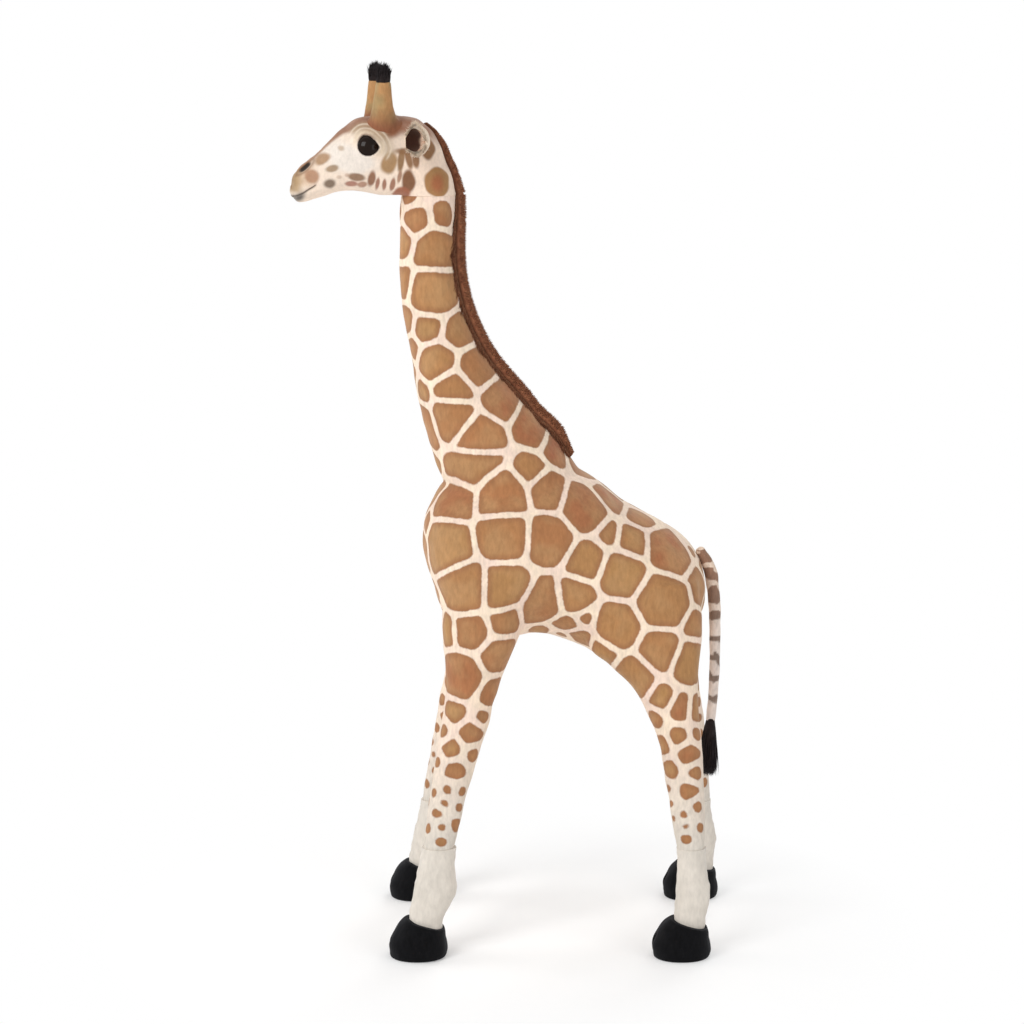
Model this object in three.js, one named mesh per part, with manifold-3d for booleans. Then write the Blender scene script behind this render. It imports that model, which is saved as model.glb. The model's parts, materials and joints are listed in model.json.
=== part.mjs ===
// A large standing plush giraffe: sewn and stuffed forms round a steel wire frame.
// Millimetres, +Z up. It faces -Y, its left side is +X, and it stands on the plane z = 0.
import * as THREE from "three";
import { mergeVertices } from "three/addons/utils/BufferGeometryUtils.js";
import Module from "manifold-3d";

const wasm = await Module();
wasm.setup();

// Clearances
const clearance = 0.3; // between sewn pieces, and round the wire in its channel
const turnClearance = 0.8; // round the neck rod in the head, which turns on it
const overrun = 5; // how far a cut runs past the face that it opens
const endGap = 1.2; // at the cut ends of the wire

// Torso
const chestY = -137; // foremost point of the chest
const bodyLength = 432;
const bodyWidth = 282;
const withersHeight = 740; // top of the shoulders above the floor
const bodyDepth = 320;

// Neck
const neckTopHeight = 1148;
const neckFrontY = -107; // where the front of the neck meets the chest
const neckLean = 64; // how far the throat stands ahead of that point
const neckBaseDepth = 200; // fore and aft, where the neck leaves the body
const neckWidth = 196; // across, where the neck leaves the body
const neckBaseHeight = 650; // its sewn-in lower end, inside the shoulders

// Head
const headReach = 207; // from the neck's axis to the nose
const crownHeight = 119; // from the jaw to the crown
const headWidth = 102;
const headYaw = THREE.MathUtils.degToRad(11); // the photographed pose looks a little to its left

// Mane
const maneDepth = 17;
const maneWidth = 21;

// Ears
const earLength = 84;
const earWidth = 55;
const earThickness = 9;
const earCup = 13; // how far the middle of the ear is set back
const earSeatGap = 2.2; // the root seam lies on a rounded head
const earBack = 14; // how far the tip lies behind the root
const earDroop = 24; // how far the tip hangs below the line square to the head
const liningThickness = 2.6;

// Horns and their tufts
const hornHeight = 59.7; // above the crown
const hornBase = 46; // across the flare at the crown
const hornTop = 22;
const hornSink = 14; // sewn in below the crown
const hornSpread = 30; // from the middle of the head to a horn's foot
const hornTipOut = 13; // how far the tip stands further out than the foot
const tuftHeight = 33;
const tuftWidth = 32;

// Eyes
const eyeDiameter = 29;
const eyeBulge = 9;
const eyeSeat = 3; // how deep the rim sits in the plush
const stemDiameter = 6;
const stemLength = 18;
const washerDiameter = 24;
const washerThickness = 2.5;

// Legs
const frontLegTop = 600; // sewn-in upper end, inside the shoulder
const frontLegY = -27; // middle of that end
const frontLegLean = 104; // how far the foot stands ahead of it
const shoulderDepth = 135;
const shoulderWidth = 138;
const shoulderOut = 62; // from the middle of the body to the upper end
const frontFootOut = 90; // how far the foot stands further out
const hindLegTop = 570;
const hindLegY = 217;
const hindLegLean = 51; // how far the foot stands behind the upper end
const thighDepth = 172;
const thighWidth = 118;
const hipOut = 60;
const hindFootOut = 93;
const sockHeight = 165; // top of the off-white lower leg
const rightFrontStride = -12; // the photographed stance: the right feet stand further apart
const rightHindStride = 35;

// Hooves
const hoofHeight = 58;
const hoofLength = 86;
const hoofWidth = 89;
const hoofAhead = 14; // how far the hoof's middle is ahead of the leg's
const hoofTopRise = 15; // how much higher its top edge is in front than behind
const cleftDepth = 13;
const cleftWidth = 9;

// Tail
const tailLength = 268; // to where the tuft is sewn on
const tailDiameter = 18;
const tailBow = 23; // how far its middle stands off behind the root
const tailNestle = 1.6; // how far its round root leans into the slope of the rump
const tuftLength = 92;
const tailTuftWidth = 38;
const tailTuftDepth = 25;

// Wire frame
const barDiameter = 12; // spine and cross bars
const rodDiameter = 8; // legs and neck
const headPin = 52; // length of the neck rod inside the head
const boardLength = 58; // stiff boards in the hooves
const boardWidth = 60;
const boardThickness = 3;
const boardHeight = 7; // underside of the board above the floor

// How finely the forms are drawn
const around = 18;
const fewerAround = 12;
const rodSides = 8;
const rodSteps = 12;
const pinSides = 16;
const fuller = 2.15; // how square the torso and the head are in section
const ridgeFuller = 2.4;
const legSearchSteps = 200;
const slopeStep = 0.01; // share of a table over which a slope is taken

// Side view of the torso, from chest to rump. Each row is one section:
// top point (along, down), bottom point (along, down) and width, as shares of
// the body's length, depth and width.
const torsoShares = [
  [0.0, 0.305, 0.005, 0.46, 0.2],
  [0.016, 0.225, 0.03, 0.565, 0.5],
  [0.067, 0.106, 0.067, 0.72, 0.77],
  [0.16, 0.044, 0.12, 0.806, 0.93],
  [0.283, 0.009, 0.2, 0.844, 1.0],
  [0.41, 0.0, 0.3, 0.844, 0.995],
  [0.52, 0.025, 0.39, 0.831, 0.94],
  [0.61, 0.088, 0.484, 0.85, 0.885],
  [0.706, 0.194, 0.572, 0.9, 0.86],
  [0.8, 0.262, 0.646, 0.962, 0.85],
  [0.88, 0.325, 0.73, 1.0, 0.85],
  [0.943, 0.394, 0.815, 1.0, 0.8],
  [0.988, 0.484, 0.9, 0.95, 0.67],
  [1.004, 0.588, 0.965, 0.812, 0.44],
  [1.004, 0.65, 0.992, 0.74, 0.2],
];

// Side view of the neck, from its sewn-in end to the throat: front point
// (ahead of the crease as a share of the lean, up the neck), thickness fore and
// aft, how much higher its back point is, and width.
const neckShares = [
  [-0.35, 0.0, 1.03, 0.08, 1.0],
  [0.0, 0.126, 1.0, 0.055, 1.0],
  [0.19, 0.19, 0.91, 0.084, 0.92],
  [0.33, 0.25, 0.81, 0.08, 0.857],
  [0.5, 0.329, 0.745, 0.062, 0.796],
  [0.61, 0.41, 0.65, 0.04, 0.745],
  [0.734, 0.498, 0.57, 0.016, 0.679],
  [0.86, 0.592, 0.5, 0.006, 0.607],
  [0.953, 0.677, 0.455, 0.004, 0.551],
  [1.0, 0.767, 0.43, 0.0, 0.505],
  [1.0, 0.847, 0.42, 0.0, 0.48],
  [1.0, 0.926, 0.425, 0.0, 0.464],
  [0.984, 1.0, 0.42, 0.0, 0.449],
];

// Side view of the head, from the neck's end over the skull to the nose: lower
// point (ahead, up), upper point (ahead, up) and width, as shares of the head's
// reach, crown height and width.
const headShares = [
  [0.198, 0.0, -0.203, 0.0, 0.863],
  [0.212, 0.0, -0.203, 0.252, 0.9],
  [0.232, 0.0, -0.179, 0.454, 0.94],
  [0.26, 0.0, -0.126, 0.647, 0.97],
  [0.303, 0.0, -0.038, 0.832, 0.99],
  [0.355, 0.004, 0.086, 0.958, 1.0],
  [0.416, 0.025, 0.228, 1.0, 1.0],
  [0.482, 0.05, 0.376, 1.0, 0.98],
  [0.548, 0.063, 0.508, 0.97, 0.9],
  [0.619, 0.059, 0.619, 0.85, 0.8],
  [0.69, 0.042, 0.71, 0.7, 0.69],
  [0.761, 0.0, 0.8, 0.55, 0.6],
  [0.832, -0.034, 0.878, 0.445, 0.55],
  [0.898, -0.067, 0.943, 0.35, 0.51],
  [0.954, -0.07, 0.985, 0.245, 0.44],
  [0.99, -0.01, 1.0, 0.14, 0.27],
];

// Front leg, from the shoulder down: height, lean, depth, width and splay.
const frontLegShares = [
  [1.0, 0.0, 1.0, 0.942, 0.0],
  [0.933, 0.096, 0.993, 1.0, 0.089],
  [0.85, 0.168, 0.926, 0.884, 0.2],
  [0.77, 0.236, 0.763, 0.754, 0.289],
  [0.717, 0.298, 0.652, 0.667, 0.3],
  [0.675, 0.336, 0.593, 0.601, 0.317],
  [0.608, 0.418, 0.556, 0.543, 0.356],
  [0.545, 0.495, 0.526, 0.471, 0.422],
  [0.48, 0.587, 0.474, 0.413, 0.506],
  [0.413, 0.673, 0.43, 0.384, 0.6],
  [0.347, 0.75, 0.4, 0.37, 0.7],
  [0.282, 0.813, 0.393, 0.348, 0.789],
  [0.225, 0.851, 0.422, 0.333, 0.861],
  [0.167, 0.875, 0.496, 0.348, 0.922],
  [0.13, 0.947, 0.437, 0.348, 0.956],
  [0.102, 1.0, 0.4, 0.341, 0.983],
  [0.04, 1.0, 0.33, 0.3, 1.0],
];

// Hind leg, in the same columns.
const hindLegShares = [
  [1.0, 0.0, 0.785, 1.0, 0.0],
  [0.912, -0.225, 0.977, 0.966, 0.065],
  [0.823, -0.284, 1.0, 0.915, 0.151],
  [0.772, -0.01, 0.802, 0.839, 0.204],
  [0.711, 0.304, 0.587, 0.746, 0.29],
  [0.64, 0.549, 0.465, 0.644, 0.376],
  [0.574, 0.735, 0.401, 0.568, 0.462],
  [0.505, 0.843, 0.363, 0.5, 0.548],
  [0.435, 0.941, 0.328, 0.458, 0.634],
  [0.365, 1.02, 0.294, 0.432, 0.72],
  [0.296, 1.088, 0.262, 0.398, 0.806],
  [0.237, 1.118, 0.267, 0.381, 0.871],
  [0.17, 1.147, 0.308, 0.398, 0.935],
  [0.123, 1.078, 0.291, 0.398, 0.978],
  [0.04, 1.0, 0.262, 0.37, 1.0],
];

// Hoof, from the sole up: height, set back, length, width and tilt.
const hoofShares = [
  [0.0, -0.02, 0.84, 0.86, 0.0],
  [0.16, -0.03, 0.965, 0.97, 0.0],
  [0.36, 0.0, 1.0, 1.0, 0.15],
  [0.56, 0.04, 0.93, 0.95, 0.5],
  [0.74, 0.085, 0.83, 0.86, 0.85],
  [0.87, 0.13, 0.7, 0.72, 1.0],
];

// Ear, from root to tip: along, width, thickness and cup.
const earShares = [
  [-0.05, 0.36, 0.2, 0.0],
  [-0.036, 0.4, 0.72, 0.0],
  [0.0, 0.46, 1.0, 0.0],
  [0.1, 0.62, 1.0, 0.35],
  [0.28, 0.9, 1.0, 0.85],
  [0.46, 1.0, 0.95, 1.0],
  [0.64, 0.9, 0.85, 0.85],
  [0.8, 0.66, 0.75, 0.5],
  [0.92, 0.38, 0.6, 0.2],
  [1.0, 0.12, 0.3, 0.0],
];
const liningStartShare = 0.3; // along the ear's table
const liningEndShare = 0.9;
const liningWidthShare = 0.78;

// Horn, from its sewn-in end to the tuft: height, and how much of the flare is left.
const hornShares = [
  [0.0, 1.0],
  [0.3, 0.76],
  [0.55, 0.36],
  [0.8, 0.12],
  [1.0, 0.0],
];

// Horn tuft, from the horn up: height and thickness.
const hornTuftShares = [
  [0.0, 0.66],
  [0.22, 0.96],
  [0.5, 1.0],
  [0.75, 0.7],
  [0.92, 0.36],
  [1.0, 0.12],
];

// Tail, down from the hinge at its root: down, off behind and thickness.
const tailShares = [
  [-0.025, 0.0, 0.25],
  [-0.018, 0.0, 0.57],
  [0.0, 0.0, 0.81],
  [0.045, 0.29, 0.94],
  [0.13, 0.68, 1.0],
  [0.3, 0.93, 0.97],
  [0.46, 1.0, 0.94],
  [0.68, 1.0, 0.88],
  [0.86, 0.92, 0.84],
  [1.0, 0.78, 0.8],
];

// Tail tuft, down from the tail: down, off behind, width and depth.
const tailTuftShares = [
  [0.0, 0.8, 0.6, 0.82],
  [0.14, 0.72, 0.86, 1.0],
  [0.4, 0.62, 1.0, 1.0],
  [0.7, 0.52, 0.8, 0.82],
  [0.9, 0.46, 0.42, 0.5],
  [1.0, 0.42, 0.12, 0.16],
];

// Where things stand on the forms that carry them
const tailSeatShare = 0.8333; // along the torso's table
const eyeAheadShare = 0.482;
const eyeUpShare = 0.62;
const hornAheadShare = 0.35;
const earAheadShare = 0.18;
const earUpShare = 0.66;
const earRootShare = 0.46; // length of the root seam, of the ear's width
const maneStartShare = 0.1;
const pollEndShare = 0.29; // along the head's table
const pollTaperShare = 0.55;
const spineFrontShare = 0.25; // along the body
const spineRearShare = 0.82;
const spineDownShare = 0.44; // down the body's depth
const neckRodLowShare = 0.3; // along the neck's table
const neckRodHighShare = 0.86;
const tuftDepthShare = 0.8; // of a horn tuft's width

// Colours of the cloth, the wire and the plastic
const colour = {
  spots: 0xb2855a,
  cream: 0xf3dcc0,
  sock: 0xddd6cc,
  black: 0x19191b,
  mane: 0x8a5238,
  horn: 0xb88a5c,
  lining: 0x4a2e22,
  eye: 0x1a1008,
  washer: 0xeeeeea,
  board: 0xd9d9d4,
  steel: 0x9a9ca0,
};
const plush = (hex) => finish(0.9, hex);
const steel = () => finish(0.35, colour.steel, 1);

// A smooth run through a table's column: 0 is its first row and 1 its last.
function through(values) {
  const points = values.map((value) => new THREE.Vector3(value, 0, 0));
  const curve = new THREE.CatmullRomCurve3(points, false, "catmullrom", 0.5);
  return (t) => curve.getPoint(THREE.MathUtils.clamp(t, 0, 1)).x;
}

function columns(table) {
  return table[0].map((_, i) => through(table.map((row) => row[i])));
}

// One section of a form: a rounded ring between two half axes.
// The power is 2 for an ellipse, and higher for fuller corners.
function ring(section, sides, grow, power) {
  const { centre, across, deep } = section;
  const wide = across.clone().setLength(across.length() + grow);
  const thick = deep.clone().setLength(deep.length() + grow);
  const bend = section.bend ?? new THREE.Vector3();
  return Array.from({ length: sides }, (_, k) => {
    const angle = (2 * Math.PI * k) / sides;
    const c = Math.sign(Math.cos(angle)) * Math.abs(Math.cos(angle)) ** (2 / power);
    const s = Math.sign(Math.sin(angle)) * Math.abs(Math.sin(angle)) ** (2 / power);
    return centre
      .clone()
      .addScaledVector(wide, c)
      .addScaledVector(thick, s)
      .addScaledVector(bend, 1 - c * c);
  });
}

// A closed form through a row of sections, its ends closed by fans.
function loft(sections, { sides = around, grow = 0, power = 2 } = {}) {
  const rings = sections.map((section) => ring(section, sides, grow, power));
  const points = rings.flat();
  const faces = [];
  for (let i = 0; i < rings.length - 1; i++) {
    for (let k = 0; k < sides; k++) {
      const a = i * sides + k;
      const b = i * sides + ((k + 1) % sides);
      faces.push(a, b, b + sides, a, b + sides, a + sides);
    }
  }
  const last = (rings.length - 1) * sides;
  const middle = (list) => list.reduce((sum, p) => sum.add(p), new THREE.Vector3()).divideScalar(sides);
  points.push(middle(rings[0]), middle(rings[rings.length - 1]));
  for (let k = 0; k < sides; k++) {
    const next = (k + 1) % sides;
    faces.push(points.length - 2, next, k);
    faces.push(points.length - 1, last + k, last + next);
  }
  return facingOut(new THREE.BufferGeometry().setFromPoints(points).setIndex(faces));
}

// Turns a closed mesh's faces outwards if their signed volume is negative.
function facingOut(geometry) {
  const place = geometry.getAttribute("position");
  const index = geometry.index.array;
  const corner = (i) => new THREE.Vector3().fromBufferAttribute(place, index[i]);
  let volume = 0;
  for (let i = 0; i < index.length; i += 3) volume += corner(i).dot(corner(i + 1).cross(corner(i + 2)));
  if (volume < 0) {
    for (let i = 0; i < index.length; i += 3) [index[i], index[i + 1]] = [index[i + 1], index[i]];
  }
  return geometry;
}

// Boolean cuts and joins on closed meshes
function solid(geometry) {
  const bare = geometry.clone();
  bare.deleteAttribute("normal");
  bare.deleteAttribute("uv");
  const merged = mergeVertices(bare);
  return new wasm.Manifold(
    new wasm.Mesh({
      numProp: 3,
      vertProperties: new Float32Array(merged.getAttribute("position").array),
      triVerts: new Uint32Array(merged.index.array),
    }),
  );
}

function geometryOf(body) {
  const mesh = body.getMesh();
  const geometry = new THREE.BufferGeometry();
  geometry.setAttribute("position", new THREE.BufferAttribute(mesh.vertProperties, 3));
  geometry.setIndex(new THREE.BufferAttribute(mesh.triVerts, 1));
  return geometry;
}

function cut(body, ...tools) {
  return tools.reduce((rest, tool) => rest.subtract(tool), body);
}

// The part of a body between two heights
function between(body, low, high) {
  const size = 2 * neckTopHeight;
  const slab = new THREE.BoxGeometry(size, size, high - low).translate(0, 0, (high + low) / 2);
  return body.intersect(solid(slab));
}

const group = new THREE.Group();

function finish(roughness, hex, metalness = 0) {
  return new THREE.MeshStandardMaterial({ color: hex, roughness, metalness });
}

function add(name, body, material, parent = group) {
  const mesh = new THREE.Mesh(body.isBufferGeometry ? body : geometryOf(body), material);
  mesh.name = name;
  parent.add(mesh);
  return mesh;
}

// Sections with their axis across the body, between a front and a back point
function sideSection(x, front, back, width) {
  return {
    centre: new THREE.Vector3(x, (front.y + back.y) / 2, (front.z + back.z) / 2),
    across: new THREE.Vector3(width / 2, 0, 0),
    deep: new THREE.Vector3(0, (back.y - front.y) / 2, (back.z - front.z) / 2),
  };
}

function rows(count, from = 0, to = 1) {
  return Array.from({ length: count }, (_, i) => from + ((to - from) * i) / (count - 1));
}

// Torso
const [topAlong, topDown, lowAlong, lowDown, torsoWide] = columns(torsoShares);
const torsoTop = (t) => ({
  y: chestY + topAlong(t) * bodyLength,
  z: withersHeight - topDown(t) * bodyDepth,
});
const torsoLow = (t) => ({
  y: chestY + lowAlong(t) * bodyLength,
  z: withersHeight - lowDown(t) * bodyDepth,
});
const torsoAt = (t) => sideSection(0, torsoTop(t), torsoLow(t), torsoWide(t) * bodyWidth);
const torsoSections = rows(19).map(torsoAt);
const torsoForm = (grow) => solid(loft(torsoSections, { grow, power: fuller, sides: 20 }));

// Neck
const neckRise = neckTopHeight - neckBaseHeight;
const [neckAhead, neckUp, neckThick, neckBackUp, neckWide] = columns(neckShares);
const neckFront = (t) => ({
  y: neckFrontY - neckAhead(t) * neckLean,
  z: neckBaseHeight + neckUp(t) * neckRise,
});
const neckBack = (t) => ({
  y: neckFront(t).y + neckThick(t) * neckBaseDepth,
  z: neckFront(t).z + neckBackUp(t) * neckRise,
});
const neckAt = (t) => sideSection(0, neckFront(t), neckBack(t), neckWide(t) * neckWidth);
const neckSections = rows(18).map(neckAt);
const neckForm = (grow) => solid(loft(neckSections, { grow }));
const turnY = (neckFront(1).y + neckBack(1).y) / 2;

// Wire: a round rod along a path, and the channel that it lies in
function rod(path, diameter, gap = 0, steps = rodSteps, sides = rodSides) {
  const outline = new THREE.Shape(
    rows(sides + 1)
      .slice(0, sides)
      .map((t) => new THREE.Vector2(Math.cos(2 * Math.PI * t), Math.sin(2 * Math.PI * t)))
      .map((p) => p.multiplyScalar(diameter / 2 + gap)),
  );
  return solid(new THREE.ExtrudeGeometry(outline, { steps, extrudePath: path, bevelEnabled: false }));
}

function channel(path, diameter, steps = rodSteps, sides = rodSides) {
  const ends = [0, 1].map((t) => {
    const end = path.getPoint(t);
    const out = path.getTangent(t).multiplyScalar(t === 0 ? -1 : 1);
    const start = end.clone().addScaledVector(out, -diameter);
    const stop = end.clone().addScaledVector(out, endGap);
    return rod(new THREE.LineCurve3(start, stop), diameter, clearance, 1, sides);
  });
  return rod(path, diameter, clearance, steps, sides).add(ends[0]).add(ends[1]);
}

// Spine frame: a bar along the body with a cross bar over each pair of legs
const spineHeight = withersHeight - spineDownShare * bodyDepth;
const spineFrontY = chestY + spineFrontShare * bodyLength;
const spineRearY = chestY + spineRearShare * bodyLength;

const frontHip = { y: frontLegY, out: shoulderOut };
const hindHip = { y: hindLegY, out: hipOut };
const onSpine = (y) => THREE.MathUtils.clamp(y, spineFrontY, spineRearY);

function bar(from, to, gap) {
  return rod(new THREE.LineCurve3(from, to), barDiameter, gap, 1, rodSides);
}

function spineForm(gap) {
  const end = barDiameter / 2 + gap;
  const along = bar(
    new THREE.Vector3(0, spineFrontY - end, spineHeight),
    new THREE.Vector3(0, spineRearY + end, spineHeight),
    gap,
  );
  return [frontHip, hindHip].reduce((frame, hip) => {
    const reach = hip.out + barDiameter + gap;
    const left = new THREE.Vector3(reach, onSpine(hip.y), spineHeight);
    return frame.add(bar(left.clone().setX(-reach), left, gap));
  }, along);
}

// Legs: one form from hip to foot, split at the top of the sock
const legs = [
  {
    name: "front",
    run: columns(frontLegShares),
    top: frontLegTop,
    y: frontLegY,
    lean: -frontLegLean,
    depth: shoulderDepth,
    width: shoulderWidth,
    out: shoulderOut,
    splay: frontFootOut,
    stride: rightFrontStride,
  },
  {
    name: "hind",
    run: columns(hindLegShares),
    top: hindLegTop,
    y: hindLegY,
    lean: hindLegLean,
    depth: thighDepth,
    width: thighWidth,
    out: hipOut,
    splay: hindFootOut,
    stride: rightHindStride,
  },
];

function legSection(leg, side, t) {
  const [up, lean, deep, wide, out] = leg.run;
  const stride = side < 0 ? leg.stride * (1 - up(t)) : 0;
  return {
    centre: new THREE.Vector3(
      side * (leg.out + out(t) * leg.splay),
      leg.y + lean(t) * leg.lean + stride,
      up(t) * leg.top,
    ),
    across: new THREE.Vector3((wide(t) * leg.width) / 2, 0, 0),
    deep: new THREE.Vector3(0, (deep(t) * leg.depth) / 2, 0),
  };
}

function legForm(leg, side, grow) {
  const sections = rows(22).map((t) => legSection(leg, side, t));
  return solid(loft(sections, { sides: fewerAround, grow }));
}

// Middle of the leg at a height, found along its own run of sections
function legMiddle(leg, side, height) {
  const near = rows(legSearchSteps).reduce((best, t) => {
    const miss = (at) => Math.abs(leg.run[0](at) * leg.top - height);
    return miss(t) < miss(best) ? t : best;
  }, 0);
  return legSection(leg, side, near).centre.setZ(height);
}

function hoofForm(foot, grow) {
  const [up, back, long, wide, tilt] = columns(hoofShares);
  const sections = rows(8).map((t) => {
    const rise = (tilt(t) * hoofTopRise) / 2;
    return {
      centre: new THREE.Vector3(foot.x, foot.y + back(t) * hoofLength, up(t) * hoofHeight),
      across: new THREE.Vector3((wide(t) * hoofWidth) / 2, 0, 0),
      deep: new THREE.Vector3(0, (long(t) * hoofLength) / 2, -rise),
    };
  });
  if (grow > 0) {
    const top = sections[sections.length - 1];
    sections.push({ ...top, centre: top.centre.clone().setZ(top.centre.z + grow) });
  }
  return solid(loft(sections, { sides: 16, grow, power: 2.2 }));
}

// The cleft between the two toes, a wedge from the sole up
function cleft(foot) {
  const front = foot.y - hoofLength / 2;
  const wedge = new THREE.Shape([
    new THREE.Vector2(foot.x - cleftWidth / 2, front - overrun),
    new THREE.Vector2(foot.x + cleftWidth / 2, front - overrun),
    new THREE.Vector2(foot.x, front + cleftDepth),
  ]);
  const height = hoofHeight / 2 + overrun;
  const form = new THREE.ExtrudeGeometry(wedge, { depth: height, bevelEnabled: false });
  return solid(form.translate(0, 0, -overrun));
}

function soleBoard(foot, gap) {
  const outline = new THREE.Shape(
    rows(17)
      .slice(0, 16)
      .map((t) => new THREE.Vector2(
        foot.x + (boardWidth / 2 + gap) * Math.cos(2 * Math.PI * t),
        foot.y + (boardLength / 2 + gap) * Math.sin(2 * Math.PI * t),
      )),
  );
  const form = new THREE.ExtrudeGeometry(outline, { depth: boardThickness + 2 * gap, bevelEnabled: false });
  return solid(form.translate(0, 0, boardHeight - gap));
}

function legRodPath(leg, side) {
  const top = spineHeight - barDiameter / 2 - endGap;
  const foot = boardHeight + boardThickness + endGap;
  const heights = rows(9).map((t) => top + (foot - top) * t);
  const points = heights.map((height) => legMiddle(leg, side, height));
  points[0].y = onSpine(leg.y);
  return new THREE.CatmullRomCurve3(points, false, "centripetal");
}

legs.forEach((leg) => {
  leg.sides = [-1, 1].map((side) => ({ side, path: legRodPath(leg, side) }));
});

// The neck rod: from the spine up the middle of the neck, and straight up into the head
const neckRodStart = new THREE.Vector3(
  0,
  onSpine(frontHip.y),
  spineHeight + barDiameter / 2 + endGap,
);
const neckRodPoints = rows(9, neckRodLowShare, neckRodHighShare).map((t) => {
  const front = neckFront(t);
  const back = neckBack(t);
  return new THREE.Vector3(0, (front.y + back.y) / 2, (front.z + back.z) / 2);
});
const neckRodTop = new THREE.Vector3(0, turnY, neckTopHeight - overrun);
const neckRodPlaces = [neckRodStart, ...neckRodPoints, neckRodTop];
const neckRodPath = new THREE.CatmullRomCurve3(neckRodPlaces, false, "centripetal");
const pinFoot = neckRodTop.clone().setZ(neckRodTop.z - overrun);
const pinTip = neckRodTop.clone().setZ(neckTopHeight + headPin);
const pinForm = (gap) => rod(new THREE.LineCurve3(pinFoot, pinTip), rodDiameter, gap, 1, pinSides);

// The body and the neck, with the channels of the frame cut through them
const legChannels = legs.flatMap((leg) => leg.sides.map(({ path }) => channel(path, rodDiameter)));
const neckChannel = channel(neckRodPath, rodDiameter).add(pinForm(clearance));
const torso = cut(torsoForm(0), spineForm(clearance), neckChannel, ...legChannels);
add("torso", torso, plush(colour.spots));
const torsoCutter = torsoForm(clearance);
add("neck", cut(neckForm(0), torsoCutter, neckChannel), plush(colour.spots));
const neckCutter = neckForm(clearance);

add("spine_frame", spineForm(0), steel());
add("neck_rod", rod(neckRodPath, rodDiameter).add(pinForm(0)), steel());

// Legs, socks, hooves, rods and sole boards
legs.forEach((leg) => {
  leg.sides.forEach(({ side, path }) => {
    const label = (side < 0 ? "right_" : "left_") + leg.name;
    const ankle = legMiddle(leg, side, hoofHeight);
    const foot = { x: ankle.x, y: ankle.y - hoofAhead };
    const hollow = channel(path, rodDiameter);
    const form = cut(legForm(leg, side, 0), torsoCutter, hollow);
    const sock = cut(between(form, hoofHeight / 2, sockHeight - clearance / 2), hoofForm(foot, clearance));
    const hoof = cut(hoofForm(foot, 0), cleft(foot), hollow, soleBoard(ankle, clearance));
    add(label + "_leg", between(form, sockHeight + clearance / 2, leg.top), plush(colour.spots));
    add(label + "_sock", sock, plush(colour.sock));
    add(label + "_hoof", hoof, plush(colour.black));
    add(label + "_leg_rod", rod(path, rodDiameter), steel());
    add(label + "_sole_board", soleBoard(ankle, 0), finish(0.6, colour.board));
  });
});

// A ridge of pile along the back line of a form, square to that line
function ridge(backAt, aheadAt, steps, depthAt) {
  return steps.map((t) => {
    const here = backAt(t);
    const before = backAt(t - slopeStep);
    const after = backAt(t + slopeStep);
    const normal = new THREE.Vector3(0, after.z - before.z, before.y - after.y).normalize();
    const ahead = aheadAt(t);
    if (normal.y * (here.y - ahead.y) + normal.z * (here.z - ahead.z) < 0) normal.negate();
    const half = (depthAt(t) + maneDepth) / 2;
    const centre = new THREE.Vector3(0, here.y, here.z).addScaledVector(normal, depthAt(t) - half);
    return { centre, across: new THREE.Vector3(maneWidth / 2, 0, 0), deep: normal.multiplyScalar(half) };
  });
}

const maneSteps = rows(20, maneStartShare, 1 - slopeStep);
const maneSections = ridge(neckBack, neckFront, maneSteps, () => maneDepth);
const maneTop = maneSections[maneSections.length - 1];
maneSections.push({ ...maneTop, centre: maneTop.centre.clone().setZ(neckTopHeight + overrun) });
const maneForm = between(solid(loft(maneSections, { sides: 10, power: ridgeFuller })), 0, neckTopHeight);
add("mane", cut(maneForm, neckCutter, torsoCutter), plush(colour.mane));

// Head: everything on it turns with it, about the neck rod's upper end
const head = new THREE.Group();
head.position.set(0, turnY, neckTopHeight + clearance);
head.rotation.z = headYaw;
group.add(head);

const [lowAhead, lowUp, highAhead, highUp, headWide] = columns(headShares);
const headLow = (t) => ({ y: -lowAhead(t) * headReach, z: lowUp(t) * crownHeight });
const headHigh = (t) => ({ y: -highAhead(t) * headReach, z: highUp(t) * crownHeight });
const headSections = rows(22).map((t) => sideSection(0, headLow(t), headHigh(t), headWide(t) * headWidth));
const headForm = (grow) => solid(loft(headSections, { grow, power: fuller }));
const headSurface = new THREE.Mesh(loft(headSections, { power: fuller }), new THREE.MeshBasicMaterial());

// The point where a line into the head first meets its skin, with the skin's normal there
function onHead(from, towards) {
  headSurface.updateMatrixWorld(true);
  const way = towards.clone().sub(from).normalize();
  const hit = new THREE.Raycaster(from, way).intersectObject(headSurface)[0];
  return { point: hit.point, normal: hit.face.normal.clone() };
}

// Eyes: a dome on a stem, locked by a washer behind the skin
function lathe(outline, sides = 20) {
  return new THREE.LatheGeometry(outline.map(([r, y]) => new THREE.Vector2(r, y)), sides);
}

function eyeOutline(grow) {
  const radius = eyeDiameter / 2 + grow;
  const stem = stemDiameter / 2 + grow;
  const dome = rows(5).map((t) => [
    radius * Math.cos((t * Math.PI) / 2),
    (eyeBulge + grow) * Math.sin((t * Math.PI) / 2) - eyeSeat + grow,
  ]);
  dome[dome.length - 1][0] = 0;
  const stemEnd = -eyeSeat - stemLength - grow;
  const rim = -eyeSeat - grow;
  return [[0, stemEnd], [stem, stemEnd], [stem, rim], [radius, rim], ...dome];
}

function washerOutline(grow) {
  const inner = stemDiameter / 2 + clearance - grow;
  const outer = washerDiameter / 2 + grow;
  const top = -eyeSeat - stemLength / 2 + grow;
  const low = top - washerThickness - 2 * grow;
  return [[inner, low], [outer, low], [outer, top], [inner, top], [inner, low]];
}

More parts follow.
